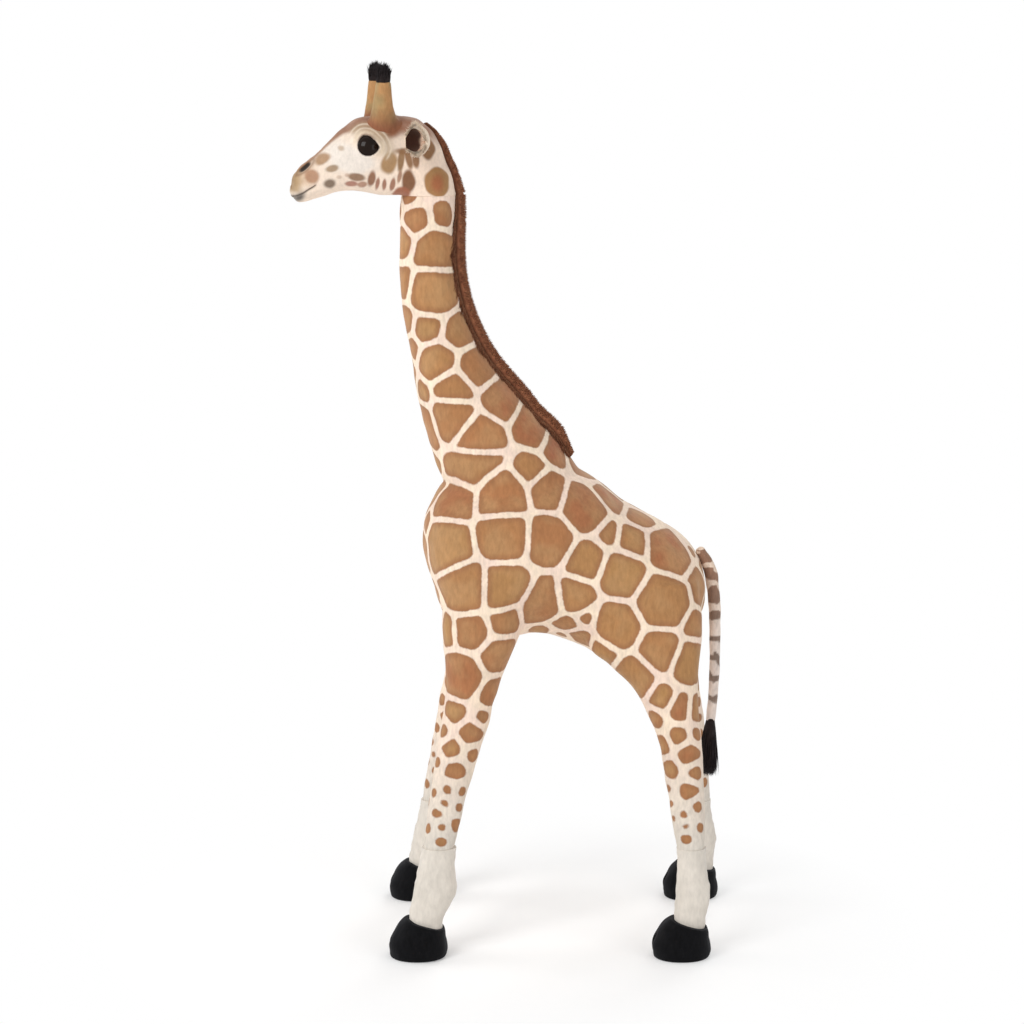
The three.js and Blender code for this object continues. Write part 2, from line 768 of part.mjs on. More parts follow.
const eyeHeight = eyeUpShare * crownHeight;
const eyeY = -eyeAheadShare * headReach;
const eyes = [-1, 1].map((side) => {
  const seat = onHead(
    new THREE.Vector3(side * headWidth, eyeY, eyeHeight),
    new THREE.Vector3(0, eyeY, eyeHeight),
  );
  const turn = new THREE.Quaternion().setFromUnitVectors(new THREE.Vector3(0, 1, 0), seat.normal);
  const matrix = new THREE.Matrix4().compose(seat.point, turn, new THREE.Vector3(1, 1, 1));
  return { side, matrix };
});

const eyeCutters = eyes.flatMap(({ matrix }) => [
  solid(lathe(eyeOutline(clearance)).applyMatrix4(matrix)),
  solid(lathe(washerOutline(clearance)).applyMatrix4(matrix)),
]);
const boreFoot = new THREE.Vector3(0, 0, -overrun);
const boreTop = new THREE.Vector3(0, 0, headPin + turnClearance);
const pinBore = rod(new THREE.LineCurve3(boreFoot, boreTop), rodDiameter, turnClearance, 1, pinSides);
const headBody = cut(headForm(0), pinBore, ...eyeCutters);
add("head", headBody, plush(colour.cream), head);
const headCutter = headForm(clearance);

eyes.forEach(({ side, matrix }) => {
  const label = side < 0 ? "right_" : "left_";
  add(label + "eye", lathe(eyeOutline(0)).applyMatrix4(matrix), finish(0.08, colour.eye), head);
  add(label + "eye_washer", lathe(washerOutline(0)).applyMatrix4(matrix), finish(0.5, colour.washer), head);
});

// The mane's upper end, on the back of the head
const pollDepth = (t) => maneDepth * (1 - (t / pollEndShare) * pollTaperShare);
const pollSections = ridge(headHigh, headLow, rows(9, slopeStep, pollEndShare), pollDepth);
const pollFoot = pollSections[0];
pollSections.unshift({ ...pollFoot, centre: pollFoot.centre.clone().setZ(-overrun) });
const pollForm = between(solid(loft(pollSections, { sides: 10, power: ridgeFuller })), 0, crownHeight * 2);
add("poll_mane", cut(pollForm, headCutter), plush(colour.mane), head);

// Horns and tufts
[-1, 1].forEach((side) => {
  const label = side < 0 ? "right_" : "left_";
  const footY = -hornAheadShare * headReach;
  const foot = onHead(
    new THREE.Vector3(side * hornSpread, footY, crownHeight * 2),
    new THREE.Vector3(side * hornSpread, footY, 0),
  ).point;
  const lean = (z) => side * hornTipOut * (z / (hornHeight + tuftHeight));
  const [up, flare] = columns(hornShares);
  const hornSections = rows(9).map((t) => {
    const z = up(t) * (hornHeight + hornSink) - hornSink;
    const half = (hornTop + flare(t) * (hornBase - hornTop)) / 2;
    return {
      centre: foot.clone().add(new THREE.Vector3(lean(z), 0, z)),
      across: new THREE.Vector3(half, 0, 0),
      deep: new THREE.Vector3(0, half, 0),
    };
  });
  const [tuftUp, tuftThick] = columns(hornTuftShares);
  const tuftSections = rows(8).map((t) => {
    const z = hornHeight + clearance + tuftUp(t) * tuftHeight;
    const half = (tuftThick(t) * tuftWidth) / 2;
    return {
      centre: foot.clone().add(new THREE.Vector3(lean(z), 0, z)),
      across: new THREE.Vector3(half, 0, 0),
      deep: new THREE.Vector3(0, half * tuftDepthShare, 0),
    };
  });
  const horn = cut(solid(loft(hornSections, { sides: 12 })), headCutter);
  add(label + "horn", horn, plush(colour.horn), head);
  add(label + "horn_tuft", loft(tuftSections, { sides: 12 }), plush(colour.black), head);
});

// Ears: a cupped leaf with a lining let into its front, hinged at the root seam
function earSection(side, t, widthShare, thickness, set = 0) {
  const [along, wide, thick, cup] = columns(earShares);
  const reach = along(t);
  return {
    centre: new THREE.Vector3(
      side * reach * earLength,
      Math.max(reach, 0) * earBack + set,
      -reach * reach * earDroop,
    ),
    across: new THREE.Vector3(0, 0, (wide(t) * earWidth * widthShare) / 2),
    deep: new THREE.Vector3(0, (thickness ?? thick(t) * earThickness) / 2, 0),
    bend: new THREE.Vector3(0, cup(t) * earCup, 0),
  };
}

[-1, 1].forEach((side) => {
  const label = side < 0 ? "right_" : "left_";
  const y = -earAheadShare * headReach;
  const z = earUpShare * crownHeight;
  const [low, high] = [-1, 1].map((end) => {
    const height = z + (end * earRootShare * earWidth) / 2;
    return onHead(new THREE.Vector3(side * headWidth, y, height), new THREE.Vector3(0, y, height)).point;
  });
  const seam = high.clone().sub(low).normalize();
  const across = new THREE.Vector3(0, 1, 0).cross(seam).normalize();
  const ear = new THREE.Group();
  ear.quaternion.setFromRotationMatrix(
    new THREE.Matrix4().makeBasis(across, new THREE.Vector3(0, 1, 0), seam),
  );
  ear.position
    .copy(low.add(high).divideScalar(2))
    .addScaledVector(across, side * (earThickness / 2 + earSeatGap));
  head.add(ear);
  const whole = solid(loft(rows(14).map((t) => earSection(side, t, 1)), { sides: 12 }));
  const lining = (grow) => {
    const steps = rows(9, liningStartShare, liningEndShare);
    const set = -earThickness / 2 + liningThickness / 2;
    const sections = steps.map((t) => earSection(side, t, liningWidthShare, liningThickness, set));
    return solid(loft(sections, { sides: 12, grow }));
  };
  const front = lining(clearance);
  const hollow = front.add(front.translate([0, -liningThickness, 0]));
  add(label + "ear", cut(whole, hollow), plush(colour.cream), ear);
  add(label + "ear_lining", lining(0), plush(colour.lining), ear);
});

// Tail: hangs from a hinge just behind the rump, clear of it
const seatTop = torsoTop(tailSeatShare);
const seatNext = torsoTop(tailSeatShare + slopeStep);
const rumpNormal = new THREE.Vector3(0, seatTop.z - seatNext.z, seatNext.y - seatTop.y).normalize();
const tail = new THREE.Group();
tail.position
  .set(0, seatTop.y, seatTop.z)
  .addScaledVector(rumpNormal, tailDiameter / 2 + clearance - tailNestle);
group.add(tail);

const [tailDown, tailOff, tailThick] = columns(tailShares);
const tailSections = rows(24).map((t) => ({
  centre: new THREE.Vector3(0, tailOff(t) * tailBow, -tailDown(t) * tailLength),
  across: new THREE.Vector3((tailThick(t) * tailDiameter) / 2, 0, 0),
  deep: new THREE.Vector3(0, (tailThick(t) * tailDiameter) / 2, 0),
}));
add("tail", loft(tailSections, { sides: 12 }), plush(colour.cream), tail);
const [tuftDown, tuftOff, tuftWide, tuftDeep] = columns(tailTuftShares);
const tailTuftSections = rows(10).map((t) => ({
  centre: new THREE.Vector3(0, tuftOff(t) * tailBow, -tailLength - clearance - tuftDown(t) * tuftLength),
  across: new THREE.Vector3((tuftWide(t) * tailTuftWidth) / 2, 0, 0),
  deep: new THREE.Vector3(0, (tuftDeep(t) * tailTuftDepth) / 2, 0),
}));
add("tail_tuft", loft(tailTuftSections, { sides: 12 }), plush(colour.black), tail);

// The origin is on the floor, in the middle of the object's outline
const extent = new THREE.Box3().setFromObject(group, true);
const middle = extent.getCenter(new THREE.Vector3());
const giraffe = new THREE.Group();
group.position.set(-middle.x, -middle.y, -extent.min.z);
giraffe.add(group);

export default giraffe;
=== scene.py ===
# %% [markdown]
# A standing plush giraffe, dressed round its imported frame.
# The frame gives the size, the joints and the plain solids. This script sews the toy over it:
# one spotted skin for body, neck and legs, pale socks, black hooves, a painted face, glossy eyes,
# and real strands for the mane and the tufts. All lengths are in metres unless a name says mm.

# %% Load the frame
import json
import math
import bpy
import numpy as np
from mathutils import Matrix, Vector


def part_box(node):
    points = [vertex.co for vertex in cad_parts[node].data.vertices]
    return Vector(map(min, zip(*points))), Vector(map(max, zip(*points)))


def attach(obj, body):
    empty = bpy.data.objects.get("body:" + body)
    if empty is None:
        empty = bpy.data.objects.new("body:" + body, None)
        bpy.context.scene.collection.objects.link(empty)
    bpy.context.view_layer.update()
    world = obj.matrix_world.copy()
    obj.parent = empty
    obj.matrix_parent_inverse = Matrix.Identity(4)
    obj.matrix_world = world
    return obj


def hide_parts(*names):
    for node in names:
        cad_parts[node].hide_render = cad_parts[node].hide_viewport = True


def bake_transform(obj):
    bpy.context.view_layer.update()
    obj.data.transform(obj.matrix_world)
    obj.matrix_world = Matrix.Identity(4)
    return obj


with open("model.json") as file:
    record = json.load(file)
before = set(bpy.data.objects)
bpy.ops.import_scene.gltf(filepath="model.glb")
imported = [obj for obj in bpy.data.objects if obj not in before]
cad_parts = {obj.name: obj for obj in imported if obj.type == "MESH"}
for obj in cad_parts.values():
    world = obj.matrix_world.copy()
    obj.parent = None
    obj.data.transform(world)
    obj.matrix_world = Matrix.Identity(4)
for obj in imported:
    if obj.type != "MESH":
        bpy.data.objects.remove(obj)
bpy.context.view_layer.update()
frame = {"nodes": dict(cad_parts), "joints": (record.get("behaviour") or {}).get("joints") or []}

MM = 0.001
HEAD_ORIGIN = np.array(frame["joints"][0]["pos_m"], float)
NECK_AXIS_Y = -127.976  # the neck's axis at its top in the tables below, in mm
SHIFT_Y = HEAD_ORIGIN[1] - NECK_AXIS_Y * MM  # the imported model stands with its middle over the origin

# %% [markdown]
# The camera looks at the toy's left side from 4.5 m, a little from above, as in the photograph.
# A long lens makes the toy fill the frame without changing the perspective.

# %% Camera
CAMERA_BACK = 4.5
CAMERA_HEIGHT = 1.475
CAMERA_PITCH = math.radians(10.26)
FILL = 2.5  # how much longer the lens is than the photograph's own framing
PHOTO_FOCUS = 1187.4 / 1024  # focal length as a share of the frame's width

camera = bpy.data.objects.new("camera", bpy.data.cameras.new("camera"))
bpy.context.collection.objects.link(camera)
camera.data.sensor_width = 36
camera.data.lens = camera.data.sensor_width * PHOTO_FOCUS * FILL
camera.location = (CAMERA_BACK, 0, CAMERA_HEIGHT)
camera.rotation_euler = (math.pi / 2 - CAMERA_PITCH, 0, math.pi / 2)
camera.data.clip_end = 60
bpy.context.scene.camera = camera
print("lens", round(camera.data.lens, 1))


# %% [markdown]
# Every stuffed form is drawn as a row of rounded sections. A table gives a few of them,
# and a smooth run through the table's columns gives all that lie between.

# %% Runs and rings
def run(table, t):
    """Values of a table's columns at the places t, 0 its first row and 1 its last.
    The curve through the rows is a Catmull-Rom spline: between two rows its slope at each row
    is half the step from the row before to the row after."""
    rows = np.asarray(table, float)
    ends = np.vstack([2 * rows[0] - rows[1], rows, 2 * rows[-1] - rows[-2]])
    along = np.clip(t, 0, 1) * (len(rows) - 1)
    i = np.minimum(along.astype(int), len(rows) - 2)
    w = (along - i)[:, None]
    a, b, c, d = ends[i], ends[i + 1], ends[i + 2], ends[i + 3]
    return b + w * ((c - a) / 2 + w * (a - 2.5 * b + 2 * c - d / 2 + w * (1.5 * (b - c) + (d - a) / 2)))


def rings(centre, across, deep, sides, power=2.0, bend=0.0):
    """Points of rounded sections, one section to each row of centre, across and deep.
    A point is centre + across * C + deep * S, where C and S are the cosine and sine of its angle,
    each raised to 2 / power with its sign kept. A power of 2 draws an ellipse, more a fuller one.
    bend adds that vector times 1 - C squared, which cups the section."""
    angle = 2 * np.pi * np.arange(sides) / sides
    c = np.sign(np.cos(angle)) * np.abs(np.cos(angle)) ** (2 / power)
    s = np.sign(np.sin(angle)) * np.abs(np.sin(angle)) ** (2 / power)
    points = centre[:, None] + across[:, None] * c[:, None] + deep[:, None] * s[:, None]
    return points + np.asarray(bend) * (1 - c * c)[:, None]


def domed(points, first=0.0, last=0.0, steps=4):
    """Rings with a rounded cap at either end: more rings, which shrink to the end's middle as a
    quarter circle does while they move out by the given length."""
    parts = [points]
    for end, length in ((0, first), (-1, last)):
        if not length:
            continue
        edge = points[end]
        middle = edge.mean(0)
        out = middle - points[1 if end == 0 else -2].mean(0)
        out = out / np.linalg.norm(out) * length
        turn = np.linspace(0, np.pi / 2, steps + 2)[1:-1, None, None]
        cap = middle + (edge - middle) * np.cos(turn) + out * np.sin(turn)
        parts = [cap[::-1], *parts] if end == 0 else [*parts, cap]
    return np.concatenate(parts)


def tube_faces(count, sides):
    """Faces of a closed tube of count rings, with a fan on a middle point at each end."""
    i = np.arange(count - 1)[:, None] * sides
    k = np.arange(sides)
    n = (k + 1) % sides
    walls = np.stack([i + k, i + n, i + sides + n, i + sides + k], -1).reshape(-1, 4)
    first, last, top = count * sides, count * sides + 1, (count - 1) * sides
    low = np.stack([np.full(sides, first), n, k], -1)
    high = np.stack([np.full(sides, last), top + k, top + n], -1)
    return walls.tolist() + low.tolist() + high.tolist()


def closed(points):
    """(vertices, faces) of a closed tube through the rings, faces outwards."""
    flat = np.vstack([points.reshape(-1, 3), points[0].mean(0), points[-1].mean(0)])
    faces = tube_faces(len(points), points.shape[1])
    a, b, c = (flat[[f[j] for f in faces]] for j in (0, 1, 2))
    if np.einsum("ij,ij->i", a, np.cross(b, c)).sum() < 0:
        faces = [f[::-1] for f in faces]
    return flat, faces


def mesh_object(name, vertices, faces):
    """A new smooth-shaded mesh object in the scene, at the origin."""
    mesh = bpy.data.meshes.new(name)
    mesh.from_pydata(vertices.tolist(), [], faces)
    mesh.shade_smooth()
    made = bpy.data.objects.new(name, mesh)
    bpy.context.collection.objects.link(made)
    return made


def places(mesh):
    """The mesh's vertices as an array of one row each."""
    flat = np.empty(len(mesh.vertices) * 3, np.float32)
    mesh.vertices.foreach_get("co", flat)
    return flat.reshape(-1, 3).astype(float)


def normals(mesh):
    """The mesh's vertex normals as an array of one row each."""
    flat = np.empty(len(mesh.vertices) * 3, np.float32)
    mesh.vertex_normals.foreach_get("vector", flat)
    return flat.reshape(-1, 3).astype(float)


def put(mesh, points):
    """Moves the mesh's vertices to the given points."""
    mesh.vertices.foreach_set("co", points.astype(np.float32).ravel())
    mesh.update()


def note(mesh, name, values):
    """Keeps one number for each vertex under a name that a material can read."""
    layer = mesh.attributes.new(name, "FLOAT", "POINT")
    layer.data.foreach_set("value", np.asarray(values, np.float32))


def note_colour(mesh, name, values):
    """Keeps one colour for each vertex under a name that a material can read."""
    layer = mesh.attributes.new(name, "FLOAT_COLOR", "POINT")
    rgba = np.concatenate([values, np.ones((len(values), 1))], 1)
    layer.data.foreach_set("color", rgba.astype(np.float32).ravel())


def level_axes(half_wide, half_deep):
    """Half axes of level sections: one across the body and one fore and aft."""
    zero = np.zeros(len(half_wide))
    return np.column_stack([half_wide, zero, zero]), np.column_stack([zero, half_deep, zero])


def side_name(side):
    """The toy's left is at positive x."""
    return "left" if side > 0 else "right"


def lumps(points, size, seed, waves=24):
    """Gentle unevenness between about -1 and 1: a sum of plane waves in random directions, with
    lengths near size."""
    random = np.random.default_rng(seed)
    way = random.normal(size=(waves, 3))
    way /= np.linalg.norm(way, axis=1)[:, None]
    rate = 2 * np.pi / size * random.uniform(0.6, 1.5, (waves, 1))
    phase = random.uniform(0, 2 * np.pi, waves)
    return np.sin(points @ (way * rate).T + phase).sum(1) / math.sqrt(waves) / 1.4


def bump(x):
    """A bell of height 1: e to the power of minus x squared."""
    return np.exp(-x * x)


def step(x, low, high):
    """Rises smoothly from 0 at low to 1 at high."""
    w = np.clip((x - low) / (high - low), 0, 1)
    return w * w * (3 - 2 * w)


print("run check", run([[0, 1], [1, 3], [2, 2]], np.array([0.5])).round(3).tolist())


# %% [markdown]
# The body, the neck and the legs of the real toy are sewn from one spotted cloth. Their sections
# are the frame's own, in millimetres and shares, so the skin lies where the solids are.

# %% Tables of the body, the neck and the legs
TORSO = dict(chest_y=-137, length=432, width=282, top=740, depth=320)
TORSO_TABLE = [
    [0.0, 0.305, 0.005, 0.46, 0.2],
    [0.016, 0.225, 0.03, 0.565, 0.5],
    [0.067, 0.106, 0.067, 0.72, 0.77],
    [0.16, 0.044, 0.12, 0.806, 0.93],
    [0.283, 0.009, 0.2, 0.844, 1.0],
    [0.41, 0.0, 0.3, 0.844, 0.995],
    [0.52, 0.025, 0.39, 0.831, 0.94],
    [0.61, 0.088, 0.484, 0.85, 0.885],
    [0.706, 0.194, 0.572, 0.9, 0.86],
    [0.8, 0.262, 0.646, 0.962, 0.85],
    [0.88, 0.325, 0.73, 1.0, 0.85],
    [0.943, 0.394, 0.815, 1.0, 0.8],
    [0.988, 0.484, 0.9, 0.95, 0.67],
    [1.004, 0.588, 0.965, 0.812, 0.44],
    [1.004, 0.65, 0.992, 0.74, 0.2],
]
NECK = dict(front_y=-107, lean=64, depth=200, width=196, low=650, top=1148)
NECK_TABLE = [
    [-0.35, 0.0, 1.03, 0.08, 1.0],
    [0.0, 0.126, 1.0, 0.055, 1.0],
    [0.19, 0.19, 0.91, 0.084, 0.92],
    [0.33, 0.25, 0.81, 0.08, 0.857],
    [0.5, 0.329, 0.745, 0.062, 0.796],
    [0.61, 0.41, 0.65, 0.04, 0.745],
    [0.734, 0.498, 0.57, 0.016, 0.679],
    [0.86, 0.592, 0.5, 0.006, 0.607],
    [0.953, 0.677, 0.455, 0.004, 0.551],
    [1.0, 0.767, 0.43, 0.0, 0.505],
    [1.0, 0.847, 0.42, 0.0, 0.48],
    [1.0, 0.926, 0.425, 0.0, 0.464],
    [0.984, 1.0, 0.42, 0.0, 0.449],
]
LEGS = {
    "front": dict(top=600, y=-27, lean=-104, depth=135, width=138, out=62, splay=90, stride=-12, table=[
        [1.0, 0.0, 1.0, 0.942, 0.0],
        [0.933, 0.096, 0.993, 1.0, 0.089],
        [0.85, 0.168, 0.926, 0.884, 0.2],
        [0.77, 0.236, 0.763, 0.754, 0.289],
        [0.717, 0.298, 0.652, 0.667, 0.3],
        [0.675, 0.336, 0.593, 0.601, 0.317],
        [0.608, 0.418, 0.556, 0.543, 0.356],
        [0.545, 0.495, 0.526, 0.471, 0.422],
        [0.48, 0.587, 0.474, 0.413, 0.506],
        [0.413, 0.673, 0.43, 0.384, 0.6],
        [0.347, 0.75, 0.4, 0.37, 0.7],
        [0.282, 0.813, 0.393, 0.348, 0.789],
        [0.225, 0.851, 0.422, 0.333, 0.861],
        [0.167, 0.875, 0.496, 0.348, 0.922],
        [0.13, 0.947, 0.437, 0.348, 0.956],
        [0.102, 1.0, 0.4, 0.341, 0.983],
        [0.04, 1.0, 0.33, 0.3, 1.0],
    ]),
    "hind": dict(top=570, y=217, lean=51, depth=172, width=118, out=60, splay=93, stride=35, table=[
        [1.0, 0.0, 0.785, 1.0, 0.0],
        [0.912, -0.225, 0.977, 0.966, 0.065],
        [0.823, -0.284, 1.0, 0.915, 0.151],
        [0.772, -0.01, 0.802, 0.839, 0.204],
        [0.711, 0.304, 0.587, 0.746, 0.29],
        [0.64, 0.549, 0.465, 0.644, 0.376],
        [0.574, 0.735, 0.401, 0.568, 0.462],
        [0.505, 0.843, 0.363, 0.5, 0.548],
        [0.435, 0.941, 0.328, 0.458, 0.634],
        [0.365, 1.02, 0.294, 0.432, 0.72],
        [0.296, 1.088, 0.262, 0.398, 0.806],
        [0.237, 1.118, 0.267, 0.381, 0.871],
        [0.17, 1.147, 0.308, 0.398, 0.935],
        [0.123, 1.078, 0.291, 0.398, 0.978],
        [0.04, 1.0, 0.262, 0.37, 1.0],
    ]),
}
SOCK_TOP = 165 * MM


def side_rings(front, back, width, sides, power):
    """Sections that stand across the body between a front and a back point of the side view."""
    zero = np.zeros(len(front))
    centre = np.column_stack([zero, (front + back) / 2])
    deep = np.column_stack([zero, (back - front) / 2])
    across = np.column_stack([width / 2, zero, zero])
    return rings(centre, across, deep, sides, power)


def torso_rings(count, sides):
    """Sections of the torso from chest to rump, each from its top point to its bottom point."""
    top_along, top_down, low_along, low_down, wide = run(TORSO_TABLE, np.linspace(0, 1, count)).T
    y, long, high, deep = TORSO["chest_y"], TORSO["length"], TORSO["top"], TORSO["depth"]
    top = np.column_stack([y + top_along * long, high - top_down * deep])
    low = np.column_stack([y + low_along * long, high - low_down * deep])
    return side_rings(top, low, wide * TORSO["width"], sides, 2.15)


def neck_line(t):
    """Front and back point of the neck's side view at t, in millimetres, and its width there."""
    ahead, up, thick, back_up, wide = run(NECK_TABLE, t).T
    rise = NECK["top"] - NECK["low"]
    front = np.column_stack([NECK["front_y"] - ahead * NECK["lean"], NECK["low"] + up * rise])
    back = front + np.column_stack([thick * NECK["depth"], back_up * rise])
    return front, back, wide * NECK["width"]


def leg_runs(kind, side, t):
    """Middle, half depth and half width of a leg's level sections, in millimetres."""
    leg = LEGS[kind]
    up, lean, deep, wide, out = run(leg["table"], t).T
    stride = leg["stride"] * (1 - up) if side < 0 else 0
    x = side * (leg["out"] + out * leg["splay"])
    middle = np.column_stack([x, leg["y"] + lean * leg["lean"] + stride, up * leg["top"]])
    return middle, deep * leg["depth"] / 2, wide * leg["width"] / 2


def leg_middle(kind, side, z):
    """Middle of a leg at the heights z, in millimetres."""
    middle = leg_runs(kind, side, np.linspace(0, 1, 300))[0][::-1]
    return np.column_stack([np.interp(z, middle[:, 2], middle[:, j]) for j in (0, 1)])


def leg_rings(kind, side, low, high, sides, spare=0.0, count=140):
    """Rings of a leg between two heights. spare is added to both half axes."""
    middle, deep, wide = leg_runs(kind, side, np.linspace(0, 1, 400))
    keep = np.linspace(high, low, count)
    order = slice(None, None, -1)
    pick = lambda values: np.interp(keep, middle[order, 2], values[order])
    centre = np.column_stack([pick(middle[:, 0]), pick(middle[:, 1]), keep])
    return rings(centre, *level_axes(pick(wide) + spare, pick(deep) + spare), sides)


def placed(points):
    """From the source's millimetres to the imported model's metres."""
    return points * MM + np.array([0, SHIFT_Y, 0])


print("front foot middle, mm", leg_middle("front", 1, np.array([0.0])).round(1).tolist())

# %% [markdown]
# Overlapping tubes become one skin by a voxel remesh, which keeps only the outside, and a light
# smoothing turns the creases between them into the soft dips of sewn, stuffed plush.

# %% One skin from several tubes
VOXEL = 3.46 * MM


def skin_of(name, parts, voxel, smoothing):
    """One closed skin round all the given tubes."""
    vertices, faces, base = [], [], 0
    for part in parts:
        flat, own = closed(part)
        vertices.append(flat)
        faces += [[i + base for i in f] for f in own]
        base += len(flat)
    rough = mesh_object(name + "_rough", np.concatenate(vertices), faces)
    remesh = rough.modifiers.new("remesh", "REMESH")
    remesh.mode = "VOXEL"
    remesh.voxel_size = voxel
    soften = rough.modifiers.new("soften", "SMOOTH")
    soften.iterations = smoothing
    graph = bpy.context.evaluated_depsgraph_get()
    mesh = bpy.data.meshes.new_from_object(rough.evaluated_get(graph))
    bpy.data.objects.remove(rough)
    mesh.name = name
    mesh.shade_smooth()
    made = bpy.data.objects.new(name, mesh)
    bpy.context.collection.objects.link(made)
    return made


HEAD_YAW = math.radians(11)
TWIST = (1.072, 1.146)  # heights between which the upper neck turns with the head
neck_t = np.linspace(0, 1, 150)
neck_front, neck_back, neck_width = neck_line(neck_t)
neck_tube = placed(side_rings(neck_front, neck_back, neck_width, 150, 2.0))
# The neck runs on inside the head, a little thinner, so that no gap can show at the joint.
collar = neck_tube[-1] - neck_tube[-1].mean(0)
collar_rise = np.array([0.5, 3, 8, 14, 20]) * MM
collar_size = np.array([0.995, 0.955, 0.93, 0.92, 0.9])
collar_rings = [neck_tube[-1].mean(0) + collar * s + [0, 0, r] for s, r in zip(collar_size, collar_rise)]
neck_tube = np.concatenate([neck_tube, collar_rings])

torso_tube = domed(placed(torso_rings(150, 180)), first=3 * MM, last=3 * MM)
coat_tubes = [torso_tube, neck_tube]
for kind in LEGS:
    for side in (1, -1):
        leg_tube = placed(leg_rings(kind, side, 150, LEGS[kind]["top"] - 1, 100))
        thin = np.where(leg_tube[:, :1, 2:] < SOCK_TOP + 1.5 * MM, 0.9, 1.0)
        middle = leg_tube.mean(1, keepdims=True)
        leg_tube[..., :2] = (middle + (leg_tube - middle) * thin)[..., :2]
        coat_tubes.append(leg_tube)
coat = skin_of("coat_skin", coat_tubes, VOXEL, 10)
print("coat", len(coat.data.vertices), "points", len(coat.data.polygons), "faces")

# %% [markdown]
# Stuffing is never quite even, so the skin swells and dips by a millimetre or so. The seams pull
# in: one runs down the front of the neck and chest, and one up the front and back of each leg.

# %% Seams and stuffing of the coat
SEAM_REACH = 4.5 * MM  # how far to either side a seam draws the plush in
BODY_SEAM_DEPTH = 1.6 * MM
LEG_SEAM_DEPTH = 1.2 * MM

coat_at = places(coat.data)
coat_out = normals(coat.data)
push = 1.3 * MM * lumps(coat_at, 95 * MM, 3) + 0.6 * MM * lumps(coat_at, 38 * MM, 4)
middle_seam = bump(coat_at[:, 0] / SEAM_REACH)
front_seam = middle_seam * step(-coat_out[:, 1], 0.3, 0.8)
belly_seam = middle_seam * step(-coat_out[:, 2], 0.5, 0.9) * step(coat_at[:, 2], 0.4, 0.45)
push -= BODY_SEAM_DEPTH * np.maximum(front_seam, belly_seam)
for kind in LEGS:
    for side in (1, -1):
        middle = leg_middle(kind, side, coat_at[:, 2] / MM)
        off = coat_at[:, 0] - middle[:, 0] * MM
        near = bump(off / SEAM_REACH) * (coat_at[:, 0] * side > 0) * step(-coat_at[:, 2], -0.47, -0.38)
        own_y = np.abs(coat_at[:, 1] - middle[:, 1] * MM - SHIFT_Y) < 0.1
        push -= LEG_SEAM_DEPTH * near * own_y * step(np.abs(coat_out[:, 1]), 0.5, 0.9)
put(coat.data, coat_at + coat_out * push[:, None])
coat_at = places(coat.data)
print("pushed by", (push.min() / MM).round(2), "to", (push.max() / MM).round(2), "mm")

# %% [markdown]
# The coat's patches are polygons with rounded corners and a pale line between them, as if the
# cloth had cracked. One place for each patch is enough: it holds the points that are nearest to
# it, and the line runs where two are equally near. A patch also has a pull, which takes from its
# neighbours, and a reach, which ends it where it has none, as with the dots above the socks.
# A row is out from the middle, fore and aft and height in mm, pull in square cm, reach in mm, and a
# tone from 0, olive tan, to 1, reddish brown.
# Most of these rows aren't hand-made values. For the neck and the body, a separate program fitted
# place, pull and reach to the photograph's patches. For most dots of the legs, a program worked the
# rows out from given places and sizes.

# %% Places of the patches
NECK_PATCHES = [
    [0, -173, 1122, 9.4, 23, 0.59], [38, -106, 1119, 3.2, 23, 0.65], [29, -158, 1150, 8.1, 19, 0.8],
    [40, -151, 1112, 9.0, 28, 0.7],
    [19, -167, 1080, 12.0, 30, 0.32], [46, -120, 1067, 12.5, 54, 0.4],
    [25, -165, 1021, 6.5, 36, 0.37], [51, -122, 1010, 13.3, 52, 0.35], [24, -160, 962, 1.0, 39, 0.49],
    [55, -129, 952, 2.0, 28, 0.05], [51, -83, 943, 1.3, 40, 0.44], [32, -150, 920, -1.9, 23, 0.45],
    [62, -114, 899, 6.5, 38, 0.3], [56, -56, 889, 6.0, 50, 0.6], [0, -153, 878, 1.0, 41, 0.47],
    [71, -90, 860, 7.7, 36, 0.39], [42, -134, 852, -1.7, 23, 0.14], [59, -22, 844, 4.7, 60, 0.95],
    [71, -91, 816, 12.5, 41, 0.5], [27, -129, 800, 6.4, 43, 0.57], [50, 32, 797, 5.0, 48, 0.9],
    [44, 62, 769, 2.0, 38, 1.0], [0, 101, 729, 4.0, 34, 0.9],
    [78, -56, 789, 10.8, 57, 0.55], [67, -54, 747, 13.3, 66, 0.4], [0, -120, 746, -4.0, 52, 0.11],
    [89, 27, 741, -0.2, 31, 0.35],
]
